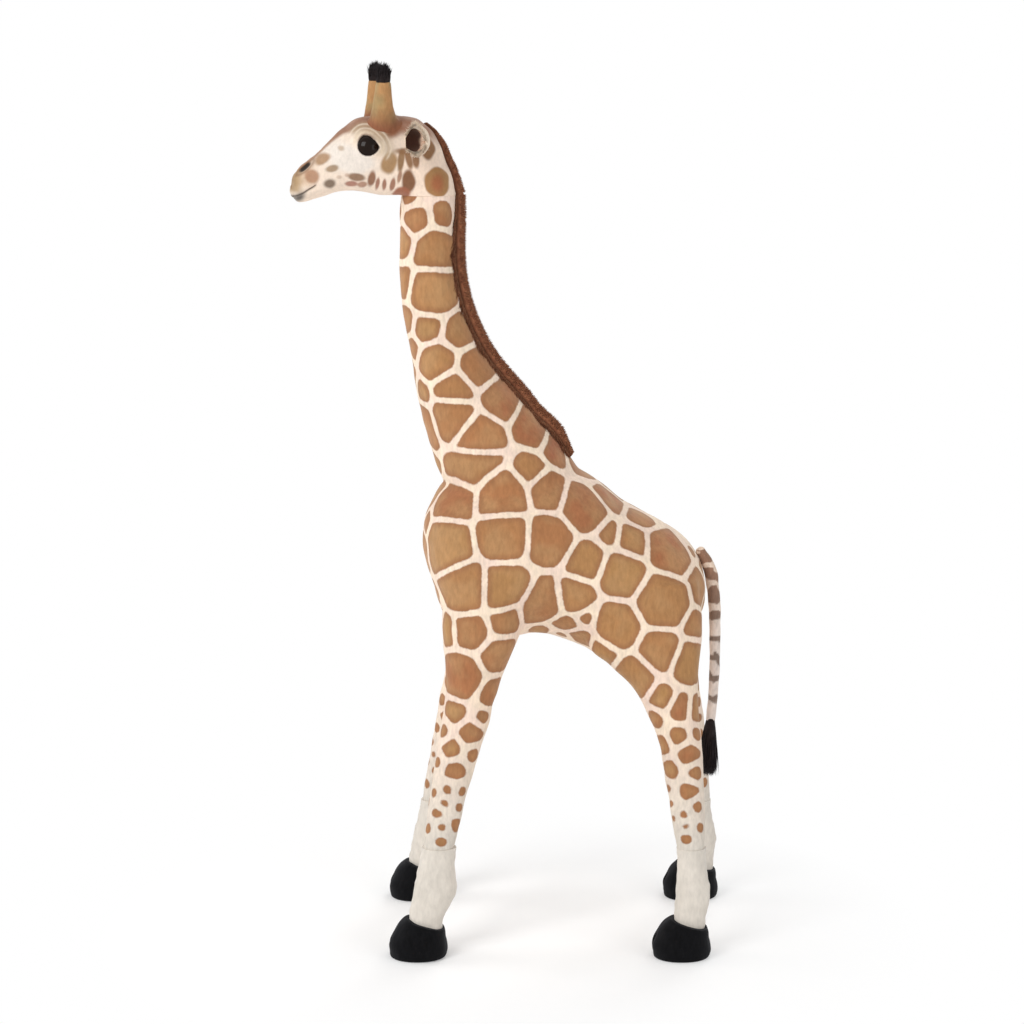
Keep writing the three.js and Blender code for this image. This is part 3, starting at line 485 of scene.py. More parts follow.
BODY_PATCHES = [
    [20, 109, 721, -7.1, 13, 0.22], [92, 56, 707, 5.1, 46, 0.75], [101, -19, 700, 13.4, 52, 0.6],
    [87, -85, 688, 10.7, 54, 0.85], [35, 151, 686, 5.7, 40, 0.95], [89, 108, 684, 12.0, 56, 0.9],
    [18, -120, 682, -2.4, 46, 0.47], [37, 193, 659, 4.4, 30, 0.75], [44, -132, 654, -5.9, 24, 0.58],
    [133, -17, 649, 13.0, 45, 0.45], [95, 147, 647, -0.5, 23, 0.41], [128, 56, 643, 7.6, 45, 0.6],
    [86, 184, 633, 4.1, 32, 0.3], [109, -98, 626, 19.9, 66, 0.15], [70, 241, 612, 16.3, 60, 0.8],
    [122, 112, 608, 3.1, 37, 0.2], [30, 276, 604, 1.2, 12, 0.8], [28, -133, 598, 4.0, 43, 0.5],
    [116, 167, 585, 8.4, 43, 0.1], [24, 292, 572, 3.0, 26, 0.3],
    [126, -77, 571, 16.8, 60, 0.35], [138, -14, 570, 10.5, 47, 0.15], [68, 284, 560, 7.9, 44, 0.45],
    [118, 91, 548, 7.0, 42, 0.3], [109, 47, 545, 10.4, 73, 0.6],
    [117, 229, 545, 14.9, 54, 0.3], [50, -116, 543, -0.3, 30, 0.6], [32, 298, 524, 3.0, 26, 0.23],
    [132, -9, 519, 2.0, 35, 0.55], [108, 112, 517, 1.6, 13, 0.54], [71, -106, 512, -1.2, 20, 0.13],
    [34, -106, 511, -2.7, 21, 0.59], [96, 84, 508, 1.7, 27, 0.42], [96, 279, 505, 1.0, 30, 0.49],
    [117, 156, 505, 11.9, 45, 0.26], [135, -66, 503, 4.8, 31, 0.7], [113, -98, 499, 1.6, 34, 0.1],
    [67, 48, 489, -6.8, 24, 0.21], [39, -82, 483, -3.0, 21, 0.36], [82, 108, 482, 1.5, 31, 0.35],
    [63, 77, 482, -5.1, 11, 0.12], [28, 292, 478, 2.0, 24, 0.33], [68, -100, 475, -0.7, 27, 0.49],
    [125, 222, 470, 8.1, 37, 0.41], [106, 138, 460, 6.5, 31, 0.15], [125, -19, 460, 6.3, 37, 0.7],
    [108, 270, 447, 8.1, 45, 0.16],
]
LEG_PATCHES = {
    "front": [
        [126, -80, 430, 11.3, 46, 0.75], [115, -30, 403, 6.3, 27, 0.7], [124, -89, 375, 1.5, 23, 0.1],
        [121, -44, 368, 0.7, 14, 0.6], [114, -105, 342, 0.5, 12, 0.4], [130, -62, 342, 1.8, 27, 0.85],
        [129, -94, 318, 1.4, 25, 0.1], [125, -60, 307, 0.4, 12, 0.5], [120, -114, 295, 0.3, 9, 0.5],
        [137, -88, 286, 1.3, 22, 0.55], [108, -122, 265, 0.4, 12, 0.45], [140, -98, 256, 0.3, 9, 0.5],
        [135, -77, 252, 0.3, 9, 0.3], [130, -120, 249, 0.3, 9, 0.4], [144, -104, 236, 0.3, 9, 0.1],
        [117, -127, 233, 0.2, 8, 0.4], [138, -81, 229, 0.3, 9, 0.5], [145, -113, 222, 0.6, 13, 0.1],
        [143, -86, 203, 0.6, 14, 0.55], [151, -108, 201, 0.3, 9, 0.1], [141, -128, 197, 0.3, 9, 0.3],
        [154, -108, 181, 0.3, 10, 0.1],
    ],
    "hind": [
        [116, 181, 428, 11.2, 48, 0.28], [131, 225, 398, 1.6, 24, 0.1], [129, 257, 381, 2.2, 28, 0.8],
        [109, 281, 375, 4.0, 26, 0.29], [120, 216, 361, 0.8, 17, 0.5], [122, 280, 340, 0.4, 12, 0.5],
        [135, 252, 339, 0.9, 18, 0.3], [120, 227, 322, 1.3, 23, 0.3], [136, 268, 312, 1.6, 25, 0.8],
        [131, 238, 285, 1.2, 20, 0.2], [137, 278, 282, 0.6, 13, 0.4], [145, 268, 256, 1.0, 19, 0.55],
        [128, 237, 256, 0.2, 8, 0.4], [134, 241, 233, 0.2, 8, 0.4], [146, 280, 232, 0.3, 10, 0.8],
        [151, 259, 220, 0.3, 9, 0.6], [140, 245, 213, 0.1, 7, 0.4], [153, 263, 203, 0.2, 8, 0.4],
        [149, 284, 200, 0.3, 9, 0.4], [155, 264, 186, 0.3, 10, 0.4],
    ],
}
LINE_MM = 8.3  # width of the pale line
CORNER_MM = 2.3  # how round the patches' corners are


def mirrored(rows):
    """The rows and their mirror images, where they aren't on the middle line."""
    rows = np.array(rows, float)
    return np.vstack([rows, rows[rows[:, 0] > 0] * [-1, 1, 1, 1, 1, 1]])


def all_patches():
    """Every patch of the coat from the places of one side, its first three columns in metres."""
    found = [mirrored(NECK_PATCHES), mirrored(BODY_PATCHES)]
    for kind, rows in LEG_PATCHES.items():
        rows = np.array(rows, float)
        for side in (1, -1):
            own = rows.copy()
            if side < 0:
                own[:, 1] += LEGS[kind]["stride"] * (1 - own[:, 2] / LEGS[kind]["top"])
            own[:, 0] *= side
            middle = leg_middle(kind, side, own[:, 2])[:, 0]
            inner = own[(np.abs(own[:, 0]) > np.abs(middle) + 8) & (own[:, 2] < 450)]
            inner[:, 0] = 2 * leg_middle(kind, side, inner[:, 2])[:, 0] - inner[:, 0]
            found += [own, inner]
    rows = np.concatenate(found)
    rows[:, :3] = placed(rows[:, :3])
    return rows


def patch_field(points, patches):
    """How far each point lies inside its patch, in metres (below 0 in the pale line), and which
    patch that is. The border between two patches is the plane where the squared distance minus the
    pull is the same for both, and the distances to all borders are joined by a soft minimum, minus
    the logarithm of the sum of their falling exponentials, which rounds the corners."""
    place, pull, reach = patches[:, :3], patches[:, 3] * 1e-4, patches[:, 4] * MM
    apart = np.linalg.norm(place[:, None] - place[None], axis=2)
    np.fill_diagonal(apart, 1e9)
    round_by = CORNER_MM * MM
    inside = np.empty(len(points))
    owner = np.empty(len(points), int)
    at_once = 8000  # points worked out together, which keeps the memory small
    for start in range(0, len(points), at_once):
        part = points[start:start + at_once]
        square = ((part[:, None] - place[None]) ** 2).sum(2)
        power = square - pull
        nearest = power.argmin(1)
        rows = np.arange(len(part))
        border = (power - power[rows, nearest][:, None]) / (2 * apart[nearest])
        border[rows, nearest] = 1
        least = border.min(1)
        soft = least - round_by * np.log(np.exp((least[:, None] - border) / round_by).sum(1))
        cap = reach[nearest] - np.sqrt(square[rows, nearest])
        edge = soft - LINE_MM / 2 * MM
        blend = np.exp(-edge / round_by) + np.exp(-cap / round_by)
        inside[start:start + at_once] = -round_by * np.log(blend)
        owner[start:start + at_once] = nearest
    return inside, owner


patches = all_patches()
wobble = 0.6 * MM * lumps(coat_at, 24 * MM, 11) + 0.3 * MM * lumps(coat_at, 9 * MM, 12)
coat_inside, coat_owner = patch_field(coat_at, patches)
patch_random = np.random.default_rng(5).uniform(0, 1, len(patches))
note(coat.data, "coat", coat_inside + wobble)
note(coat.data, "patch_tone", patches[coat_owner, 5])
note(coat.data, "patch_depth", patch_random[coat_owner])
print(len(patches), "patches,", round(float((coat_inside > 0).mean()), 3), "of the coat is tan")


# %% [markdown]
# Short plush is a knitted cloth with a cut pile of 3 to 4 mm. Its fibres scatter the light, so it
# looks matt, with a pale sheen at grazing angles, and it shows small clumps and a brushed
# direction. One function adds a node with its settings and links, and each finish is built on it.

# %% Colours and nodes
def linear(code):
    """An sRGB hex colour as linear red, green and blue: below 0.04045 a share is divided by
    12.92, above it 0.055 is added, the sum is divided by 1.055 and raised to 2.4."""
    share = np.array([int(code[i:i + 2], 16) for i in (1, 3, 5)]) / 255
    return np.where(share <= 0.04045, share / 12.92, ((share + 0.055) / 1.055) ** 2.4)


def rgba(code):
    """The same with an alpha of 1, as a colour socket takes it."""
    return (*linear(code), 1.0)


def node(tree, kind, settings=None, **links):
    """Adds a node. settings are its own properties. links are its inputs by name, with _ for a
    blank: a socket is linked and anything else is its value."""
    made = tree.nodes.new(kind)
    for key, value in (settings or {}).items():
        setattr(made, key, value)
    for key, value in links.items():
        name = key.replace("_", " ")
        socket = made.inputs[int(name[1:])] if name[0] == "i" and name[1:].isdigit() else made.inputs[name]
        if isinstance(value, bpy.types.NodeSocket):
            tree.links.new(value, socket)
        else:
            socket.default_value = value
    return made


def material(name, **shader):
    """A new material with a Principled shader: (material, its tree, the shader)."""
    made = bpy.data.materials.new(name)
    made.use_nodes = True
    tree = made.node_tree
    tree.nodes.clear()
    bsdf = node(tree, "ShaderNodeBsdfPrincipled", **shader)
    out = node(tree, "ShaderNodeOutputMaterial")
    tree.links.new(bsdf.outputs[0], out.inputs[0])
    return made, tree, bsdf


COLOUR = {"data_type": "RGBA"}  # a Mix node that mixes colours


def pile(tree, bsdf, colour, clump_mm=2.6, depth_mm=0.75, contrast=0.16, brushed=0.4):
    """The pile of plush on a colour: clumps of fibre that vary the colour and give the bump, drawn
    out along the height as if brushed down."""
    where = node(tree, "ShaderNodeTexCoord").outputs["Object"]
    drawn = node(tree, "ShaderNodeMapping", Vector=where, Scale=(1, 1, brushed)).outputs[0]
    clumps = node(tree, "ShaderNodeTexNoise", Vector=drawn, Scale=1 / (clump_mm * MM * 2.2),
                  Detail=3.0, Roughness=0.62).outputs[0]
    soft = node(tree, "ShaderNodeTexNoise", Vector=where, Scale=1 / (38 * MM), Detail=2.0).outputs[0]
    dark = node(tree, "ShaderNodeMapRange", Value=clumps, From_Min=0.3, From_Max=0.72,
                To_Min=1 - contrast, To_Max=1 + contrast * 0.5).outputs[0]
    broad = node(tree, "ShaderNodeMapRange", Value=soft, From_Min=0.3, From_Max=0.7, To_Min=0.95,
                 To_Max=1.04).outputs[0]
    shade = node(tree, "ShaderNodeMath", {"operation": "MULTIPLY"}, i0=dark, i1=broad).outputs[0]
    tinted = node(tree, "ShaderNodeVectorMath", {"operation": "SCALE"}, i0=colour, Scale=shade).outputs[0]
    height = node(tree, "ShaderNodeBump", Height=clumps, Distance=depth_mm * MM, Strength=0.75)
    tree.links.new(tinted, bsdf.inputs["Base Color"])
    tree.links.new(height.outputs[0], bsdf.inputs["Normal"])


def blotched(tree, size_mm, first, second, detail=2.0, edges=(0.0, 1.0)):
    """A colour that drifts from one to another in soft blotches of about the given size. edges are
    the noise values at which the first colour ends and the second is reached."""
    where = node(tree, "ShaderNodeTexCoord").outputs["Object"]
    drift = node(tree, "ShaderNodeTexNoise", Vector=where, Scale=1 / (size_mm * MM), Detail=detail)
    share = node(tree, "ShaderNodeMapRange", Value=drift.outputs[0], From_Min=edges[0], From_Max=edges[1])
    mixed = node(tree, "ShaderNodeMix", COLOUR, i0=share.outputs[0], i6=rgba(first), i7=rgba(second))
    return mixed.outputs[2]


PLUSH = {"Roughness": 0.86, "Sheen_Weight": 0.32, "Sheen_Roughness": 0.45, "IOR": 1.45,
         "Specular_IOR_Level": 0.18}
BLACK_PLUSH = {**PLUSH, "Sheen_Weight": 0.14, "Specular_IOR_Level": 0.1}


# %% [markdown]
# The spotted coat: printed polyester plush, pale cream with tan patches. The print bleeds a
# little along the fibres, patches differ from olive tan to orange brown, and each has a slightly
# darker rim.

# %% Spotted plush
OLIVE = "#B68B59"
REDDISH = "#A86747"
CREAM = "#F4E0C8"
SOCK_WHITE = "#D7CFC4"
spotted, tree, bsdf = material("printed_spotted_plush", **PLUSH, Sheen_Tint=rgba("#FFF2E0"))
print("spotted plush made")
inside = node(tree, "ShaderNodeAttribute", {"attribute_name": "coat"}).outputs["Fac"]
tone = node(tree, "ShaderNodeAttribute", {"attribute_name": "patch_tone"}).outputs["Fac"]
depth = node(tree, "ShaderNodeAttribute", {"attribute_name": "patch_depth"}).outputs["Fac"]
where = node(tree, "ShaderNodeTexCoord").outputs["Object"]
rise = node(tree, "ShaderNodeSeparateXYZ", Vector=where).outputs[2]
fray = node(tree, "ShaderNodeTexNoise", Vector=where, Scale=1 / (5 * MM), Detail=3.0).outputs[0]
frayed = node(tree, "ShaderNodeMath", {"operation": "MULTIPLY_ADD"}, i0=fray, i1=2.2 * MM,
              i2=inside).outputs[0]
is_patch = node(tree, "ShaderNodeMapRange", Value=frayed, From_Min=0.2 * MM, From_Max=2.3 * MM).outputs[0]
within = node(tree, "ShaderNodeMapRange", Value=frayed, From_Min=2 * MM, From_Max=11 * MM).outputs[0]
cloud = node(tree, "ShaderNodeTexNoise", Vector=where, Scale=1 / (46 * MM), Detail=2.0).outputs[0]
patchy = node(tree, "ShaderNodeMapRange", Value=cloud, From_Min=0.42, From_Max=0.62, To_Max=0.6).outputs[0]
darker = node(tree, "ShaderNodeMapRange", Value=depth, To_Max=0.3).outputs[0]
hue = node(tree, "ShaderNodeMix", COLOUR, i0=tone, i6=rgba(OLIVE), i7=rgba(REDDISH)).outputs[2]
centre = node(tree, "ShaderNodeMix", COLOUR, i0=patchy, i6=hue, i7=rgba("#BB9266")).outputs[2]
deeper = node(tree, "ShaderNodeMix", COLOUR, i0=darker, i6=centre, i7=rgba("#9A7049")).outputs[2]
rim = node(tree, "ShaderNodeMix", COLOUR, i0=within, i6=rgba("#9F6F4C"), i7=deeper).outputs[2]
pinkish = node(tree, "ShaderNodeMapRange", Value=cloud, From_Min=0.35, From_Max=0.65).outputs[0]
cream = node(tree, "ShaderNodeMix", COLOUR, i0=pinkish, i6=rgba(CREAM), i7=rgba("#F2D9C8")).outputs[2]
high = node(tree, "ShaderNodeMapRange", Value=rise, From_Min=0.17, From_Max=0.36).outputs[0]
ground = node(tree, "ShaderNodeMix", COLOUR, i0=high, i6=rgba(SOCK_WHITE), i7=cream).outputs[2]
pile(tree, bsdf, node(tree, "ShaderNodeMix", COLOUR, i0=is_patch, i6=ground, i7=rim).outputs[2])
coat.data.materials.append(spotted)
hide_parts("torso", "neck", "left_front_leg", "right_front_leg", "left_hind_leg", "right_hind_leg")
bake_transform(coat)

# %% [markdown]
# The lower legs are off-white plush, sewn on where the dots end. Each is the leg's own form from
# the seam down into the hoof.

# %% Socks
sock_plush, tree, bsdf = material("offwhite_plush", **PLUSH, Sheen_Tint=rgba("#FFFFFF"))
pile(tree, bsdf, blotched(tree, 60, "#DCD4C9", SOCK_WHITE, edges=(0.4, 0.6)), contrast=0.1)

SOCK_LOW = 44  # its lower end inside the hoof, in mm above the floor
SOCK_SEAM_REACH = 3.5 * MM
SOCK_SEAM_DEPTH = 1.2 * MM
for kind in LEGS:
    for side in (1, -1):
        label = f"{side_name(side)}_{kind}_sock"
        tube = placed(leg_rings(kind, side, SOCK_LOW, SOCK_TOP / MM, 120, 0.15, count=70))
        lip_middle = tube[:1].mean(1, keepdims=True)
        lip = lip_middle + (tube[:1] - lip_middle) * np.array([0.86, 0.95, 0.985])[:, None, None]
        lip[..., 2] += np.array([0.4, 1.0, 0.7])[:, None] * MM
        tube = np.concatenate([lip, tube])
        flat, faces = closed(tube)
        sock = mesh_object(label + "_plush", flat, faces)
        at, out = places(sock.data), normals(sock.data)
        wrinkle = 0.9 * MM * lumps(at * [1, 1, 2.2], 46 * MM, 21) + 0.4 * MM * lumps(at, 18 * MM, 22)
        hold = step(SOCK_TOP - at[:, 2], 0, 12 * MM)
        off = at[:, 0] - leg_middle(kind, side, at[:, 2] / MM)[:, 0] * MM
        seam = SOCK_SEAM_DEPTH * bump(off / SOCK_SEAM_REACH) * step(np.abs(out[:, 1]), 0.5, 0.9)
        put(sock.data, at + out * ((wrinkle - seam) * hold)[:, None])
        sock.data.materials.append(sock_plush)
        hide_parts(label)
        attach(sock, "body")
print("4 socks")

# %% [markdown]
# The hooves are near-black short plush over firm filling. The toe is parted by a cleft, the top
# edge is higher in front, and the sole is flat because a board holds it.

# %% Hooves
HOOF = dict(height=58, length=86, width=89, ahead=14, rise=15, cleft_deep=9, cleft_wide=5)
HOOF_TABLE = [
    [0.0, 0.004, 0.93, 0.87, 0.0],
    [0.03, 0.012, 1.0, 0.93, 0.0],
    [0.16, 0.016, 1.04, 0.975, 0.0],
    [0.36, 0.012, 1.03, 1.0, 0.15],
    [0.56, 0.04, 0.93, 0.95, 0.5],
    [0.74, 0.085, 0.83, 0.86, 0.85],
    [0.87, 0.13, 0.7, 0.72, 1.0],
    [0.885, 0.14, 0.6, 0.62, 1.0],
]
black_plush, tree, bsdf = material("black_short_plush", **BLACK_PLUSH, Sheen_Tint=rgba("#B8B8C0"))
black = node(tree, "ShaderNodeRGB")
black.outputs[0].default_value = rgba("#0E0E10")
pile(tree, bsdf, black.outputs[0], contrast=0.5)

for kind in LEGS:
    for side in (1, -1):
        label = f"{side_name(side)}_{kind}_hoof"
        ankle = leg_middle(kind, side, np.array([HOOF["height"]]))[0]
        up, back, long, wide, tilt = run(HOOF_TABLE, np.linspace(0, 1, 60)).T
        count = len(up)
        zero = np.zeros(count)
        centre = np.column_stack([np.full(count, ankle[0]), ankle[1] - HOOF["ahead"] + back * HOOF["length"],
                                  up * HOOF["height"]])
        across = np.column_stack([wide * HOOF["width"] / 2, zero, zero])
        deep = np.column_stack([zero, long * HOOF["length"] / 2, -tilt * HOOF["rise"] / 2])
        tube = placed(rings(centre, across, deep, 120, 2.2))
        flat, faces = closed(tube)
        hoof = mesh_object(label + "_plush", flat, faces)
        at, out = places(hoof.data), normals(hoof.data)
        off = (at[:, 0] / MM - ankle[0]) / HOOF["cleft_wide"]
        front = step(-(at[:, 1] - SHIFT_Y) / MM + ankle[1] - HOOF["ahead"], 12, 36)
        low = 1 - step(at[:, 2] / MM, 18, 44)
        cleft = HOOF["cleft_deep"] * MM * bump(off) * front * low
        at[:, 1] += cleft
        swell = 0.5 * MM * lumps(at, 30 * MM, 31) * step(at[:, 2], 2 * MM, 10 * MM)
        put(hoof.data, at + out * swell[:, None])
        hoof.data.materials.append(black_plush)
        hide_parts(label)
        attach(hoof, "body")
print("4 hooves")

# %% [markdown]
# The head turns as one with its ears, eyes and horns. It is a single grid that runs from the
# neck's end over the skull to the nose, pushed in and out where the face has its features.

# %% The head's form
HEAD = dict(reach=207, crown=119, width=102)
HEAD_TABLE = [
    [0.198, 0.0, -0.203, 0.0, 0.863],
    [0.212, 0.0, -0.172, 0.252, 0.9],
    [0.232, 0.0, -0.122, 0.454, 0.94],
    [0.26, 0.0, -0.082, 0.647, 0.97],
    [0.303, 0.0, -0.014, 0.832, 0.99],
    [0.355, 0.004, 0.086, 0.958, 1.0],
    [0.416, 0.025, 0.228, 1.0, 1.0],
    [0.482, 0.05, 0.376, 1.0, 0.98],
    [0.548, 0.063, 0.508, 0.97, 0.9],
    [0.619, 0.059, 0.619, 0.85, 0.8],
    [0.69, 0.042, 0.71, 0.7, 0.69],
    [0.761, 0.0, 0.8, 0.55, 0.6],
    [0.832, -0.034, 0.878, 0.445, 0.55],
    [0.898, -0.067, 0.943, 0.35, 0.51],
    [0.954, -0.07, 0.985, 0.245, 0.44],
    [0.99, -0.01, 1.0, 0.14, 0.27],
]
YAW = np.array([[math.cos(HEAD_YAW), math.sin(HEAD_YAW), 0],
                [-math.sin(HEAD_YAW), math.cos(HEAD_YAW), 0], [0, 0, 1]])


def on_head(points):
    """From the head's own frame, in metres (side, back, up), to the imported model's."""
    return points @ YAW + HEAD_ORIGIN


def head_line(t):
    """Lower and upper point of the head's side view at t, in metres, and its width there."""
    low_ahead, low_up, high_ahead, high_up, wide = run(HEAD_TABLE, t).T
    low = np.column_stack([-low_ahead * HEAD["reach"], low_up * HEAD["crown"]]) * MM
    high = np.column_stack([-high_ahead * HEAD["reach"], high_up * HEAD["crown"]]) * MM
    return low, high, wide * HEAD["width"] * MM


head_low, head_high, head_width = head_line(np.linspace(0, 1, 290))
head_grid = side_rings(head_low, head_high, head_width, 260, 2.15)
head_grid = domed(head_grid, last=3 * MM, steps=6)
flat, faces = closed(head_grid)
head = mesh_object("head_plush", flat, faces)
head_at, head_out = places(head.data), normals(head.data)
sideways, ahead, up = head_at[:, 0] / MM, -head_at[:, 1] / MM, head_at[:, 2] / MM
cheek = np.abs(sideways)
print("head", len(flat), "points")

# %% [markdown]
# The eye sits in a shallow socket between two lids. The lids are a raised ring whose opening is
# rounded at the front and drawn out to a corner behind, which gives the dark eye its almond shape.

# %% Sockets, nostrils and mouth
HORN = dict(height=59.7, base=46, top=22, sink=14, spread=30, out=13, ahead=0.35, tuft=33, clear=22, foot=21)
EYE = dict(ahead=98.5, up=76.5, radius=16.2, bulge=9.5, sunk=3.4)
OPENING = np.array([[-7, 17.4], [18, 14.2], [45, 12.4], [80, 14.8], [112, 17.0], [145, 14.8], [180, 13.8],
                    [215, 13.6], [270, 13.2], [312, 14.6], [353, 17.4]])
surface = head_grid.reshape(-1, 3)
right_side = surface[:, 0] > 20 * MM
miss = (-surface[:, 1] / MM - EYE["ahead"]) ** 2 + (surface[:, 2] / MM - EYE["up"]) ** 2
seat_index = np.where(right_side, miss, 1e9).argmin()
seat, seat_out = surface[seat_index], head_out[seat_index]
print("eye seat", (seat / MM).round(1).tolist(), seat_out.round(2).tolist())
seat_back = np.array([0.0, 1.0, 0.0]) - seat_out * seat_out[1]
seat_back /= np.linalg.norm(seat_back)
seat_up = np.cross(seat_out, seat_back)
seat_up *= np.sign(seat_up[2])


def eye_frame(points):
    """Places about the eye of the same side: back and up along the skin, in mm."""
    same = points * np.where(points[:, :1] < 0, [-1, 1, 1], [1, 1, 1])
    rel = same - seat
    return rel @ seat_back / MM, rel @ seat_up / MM, rel @ seat_out / MM


eye_back, eye_up, eye_off = eye_frame(head_at)
eye_far = np.hypot(eye_back, eye_up)
eye_angle = (np.degrees(np.arctan2(eye_up, eye_back)) + 7) % 360 - 7
opening = np.interp(eye_angle, *OPENING.T)
near_eye = (np.abs(eye_off) < 18) & (cheek > 15)
dome_there = EYE["bulge"] * np.sqrt(1 - np.minimum(opening / EYE["radius"], 1) ** 2) - EYE["sunk"]
from_edge = eye_far - opening
socket = -5.5 * (1 - step(from_edge, -2.2, 0.2))
lid_high = np.maximum(dome_there, 0) + 1.9
lid = lid_high * step(from_edge, -1.4, 0.9) * (1 - step(from_edge, 1.5, 9.5))
fold = 1.1 * bump((from_edge - 9.5) / 3.0) * (eye_up + 0.6 * eye_back > 0)
face_push = (socket + lid + fold) * near_eye
brow = 2.0 * bump((ahead - 96) / 28) * bump((up - 106) / 12) * step(cheek, 14, 30)
NOSTRIL = dict(ahead=188, up=44.5)
nose_along = (ahead - NOSTRIL["ahead"]) * 0.75 - (up - NOSTRIL["up"]) * 0.66
nose_across = (ahead - NOSTRIL["ahead"]) * 0.66 + (up - NOSTRIL["up"]) * 0.75
nostril_far = np.hypot(nose_along / 10.5, nose_across / 3.2)
nose_here = step(ahead, 168, 174) * step(up, 26, 32) * step(cheek, 6, 8.5)
nostril = -2.6 * bump(nostril_far) * nose_here
nostril_rim = 0.5 * bump((nostril_far - 1.6) / 0.5) * nose_here
MOUTH_TABLE = [[206, 0.5], [202.7, 1.6], [192.2, 6.0], [183.7, 11.4], [178, 14.6], [173, 18.0], [168, 21.5]]
mouth_rows = np.array(MOUTH_TABLE, float)[::-1]
mouth_up = np.interp(ahead, mouth_rows[:, 0], mouth_rows[:, 1])
mouth_far = (up - mouth_up) * 0.86
mouth_here = step(ahead, 171.5, 175)
groove = -1.7 * bump(mouth_far / 1.4) * mouth_here
lips = 0.9 * (bump((mouth_far - 4.5) / 3) + bump((mouth_far + 4.5) / 3)) * mouth_here
cheekbone = 2.0 * bump((ahead - 104) / 24) * bump((up - 42) / 15) * step(cheek, 15, 30)
ear_seat = 3.2 * bump(np.hypot((ahead - 37) / 11, (up - 81) / 19)) * step(cheek, 25, 35)
hollow = -1.6 * bump((ahead - 146) / 18) * bump((up - 52) / 16) * step(cheek, 8, 20)
stuffing = 0.6 * lumps(head_at, 42 * MM, 41) + 0.25 * lumps(head_at, 16 * MM, 42)
collar_hold = step(up, 0, 14)
face_push = face_push + brow + nostril + nostril_rim + groove + lips + cheekbone + hollow + ear_seat
put(head.data, head_at + head_out * ((face_push + stuffing) * collar_hold)[:, None] * MM)
print("face pushed by", face_push.min().round(2), "to", face_push.max().round(2), "mm")

# %% [markdown]
# The face is air-brushed: a reddish-brown crown that runs down the bridge of the nose, soft spots
# on the cheeks and along the jaw, pale rings round the eyes, a dark nostril and a grey lip. Each
# mark is a soft blob in the side view, the same on both sides, mixed into the cream one by one.

# %% Painting the face
paint = np.tile(linear("#F0DDCB"), (len(head_at), 1))


def brush(mask, code):
    """Mixes a colour into the paint where the mask says, from 0 to 1."""
    global paint
    share = np.clip(mask, 0, 1)[:, None]
    paint = paint * (1 - share) + linear(code) * share


def blob(centre_ahead, centre_up, long, high, turn=0.0, soft=0.45, least_side=6):
    """A soft-edged ellipse in the side view, turned by degrees, on both cheeks."""
    a, u = ahead - centre_ahead, up - centre_up
    c, s = math.cos(math.radians(turn)), math.sin(math.radians(turn))
    far = np.hypot((a * c + u * s) / long, (u * c - a * s) / high) + 0.1 * mottle
    return (1 - step(far, 1 - soft, 1 + soft)) * step(cheek, least_side - 3, least_side + 3)


mottle = lumps(head_at, 26 * MM, 43)
brush(step(-ahead, -75, -20) * (1 - step(up, 60, 90)), "#F3DCC8")
brush(blob(134, 62, 30, 20, 12, 0.5) + blob(112, 50, 24, 14, 0, 0.5), "#E9DED3")
brush(step(ahead, 166, 186) * step(up, 10, 24) * 0.6, "#C9A582")
SPOTS = [
    [163, 56.5, 11.5, 6.4, -32, "#A5815F", 0.9, 0.3], [149.5, 43, 8.2, 4.6, -12, "#9F8468", 0.9, 0.35],
    [153.5, 20.5, 8.4, 6.2, -4, "#74604F", 0.9, 0.35], [136, 73, 4.0, 3.4, 0, "#BBA38C", 0.8, 0.5],
    [113.5, 30, 12, 5.6, 8, "#8E6E56", 0.95, 0.3], [91.5, 27.5, 5.2, 12.0, 4, "#8C6148", 0.95, 0.3],
    [121, 19.5, 9.4, 4.2, 4, "#A87260", 0.9, 0.3], [104, 18.5, 6.4, 4.4, 0, "#A87A62", 0.85, 0.35],
    [82, 20, 3.0, 9.0, 4, "#97644E", 0.9, 0.3], [72, 19, 3.0, 8.5, -3, "#94624A", 0.9, 0.3],
    [59.5, 18.5, 3.6, 9.0, 5, "#94624A", 0.9, 0.3], [112, 6, 9.0, 2.6, 4, "#A88070", 0.6, 0.5],
    [66, 51, 10.5, 15, 18, "#A17D55", 0.95, 0.25], [48.5, 54, 4.6, 16, 6, "#8E6C4A", 0.95, 0.3],
    [37, 57, 4.8, 13, -14, "#8C6646", 0.95, 0.3], [26, 55, 5.2, 11, -10, "#8A6344", 0.95, 0.3],
    [38, 68, 19, 4.6, 2, "#8C6646", 0.9, 0.4], [50, 30, 3.0, 9, 10, "#9A6E54", 0.85, 0.35],
    [36.5, 22, 9.4, 16, -8, "#80573C", 0.98, 0.2], [44, 3, 11.5, 11.0, 0, "#9C6249", 0.98, 0.2],
    [-7, 21.5, 18.5, 21.5, -8, "#A67C52", 1.0, 0.09], [-8, 19, 9, 11, 0, "#A25C3F", 0.7, 0.6],
    [5, 69, 9.0, 14.0, 14, "#8C6646", 0.98, 0.2], [22, 92, 8.0, 7.0, 0, "#97694A", 0.9, 0.3],
    [179, 31, 10.0, 9.0, 30, "#AE8468", 0.9, 0.3], [128, 33, 3.0, 2.6, 0, "#B59078", 0.5, 0.4],
    [139, 30, 3.6, 2.4, 0, "#B89880", 0.5, 0.4],
]
for a, u, long, high, turn, code, strength, soft in SPOTS:
    brush(blob(a, u, long * 1.08, high * 1.08, turn, soft) * strength, code)
crown_width = np.interp(ahead, [-45, 0, 60, 90, 105, 118, 132, 148, 165, 205],
                        [30, 42, 49, 46, 38, 31, 22, 14, 11, 12])
over = head_out[:, 2]
from_above = np.where(ahead > 98, step(over, 0.08, 0.35), step(over, 0.3, 0.62))
crown_mask = (1 - step(cheek - crown_width, -6, 3)) * from_above
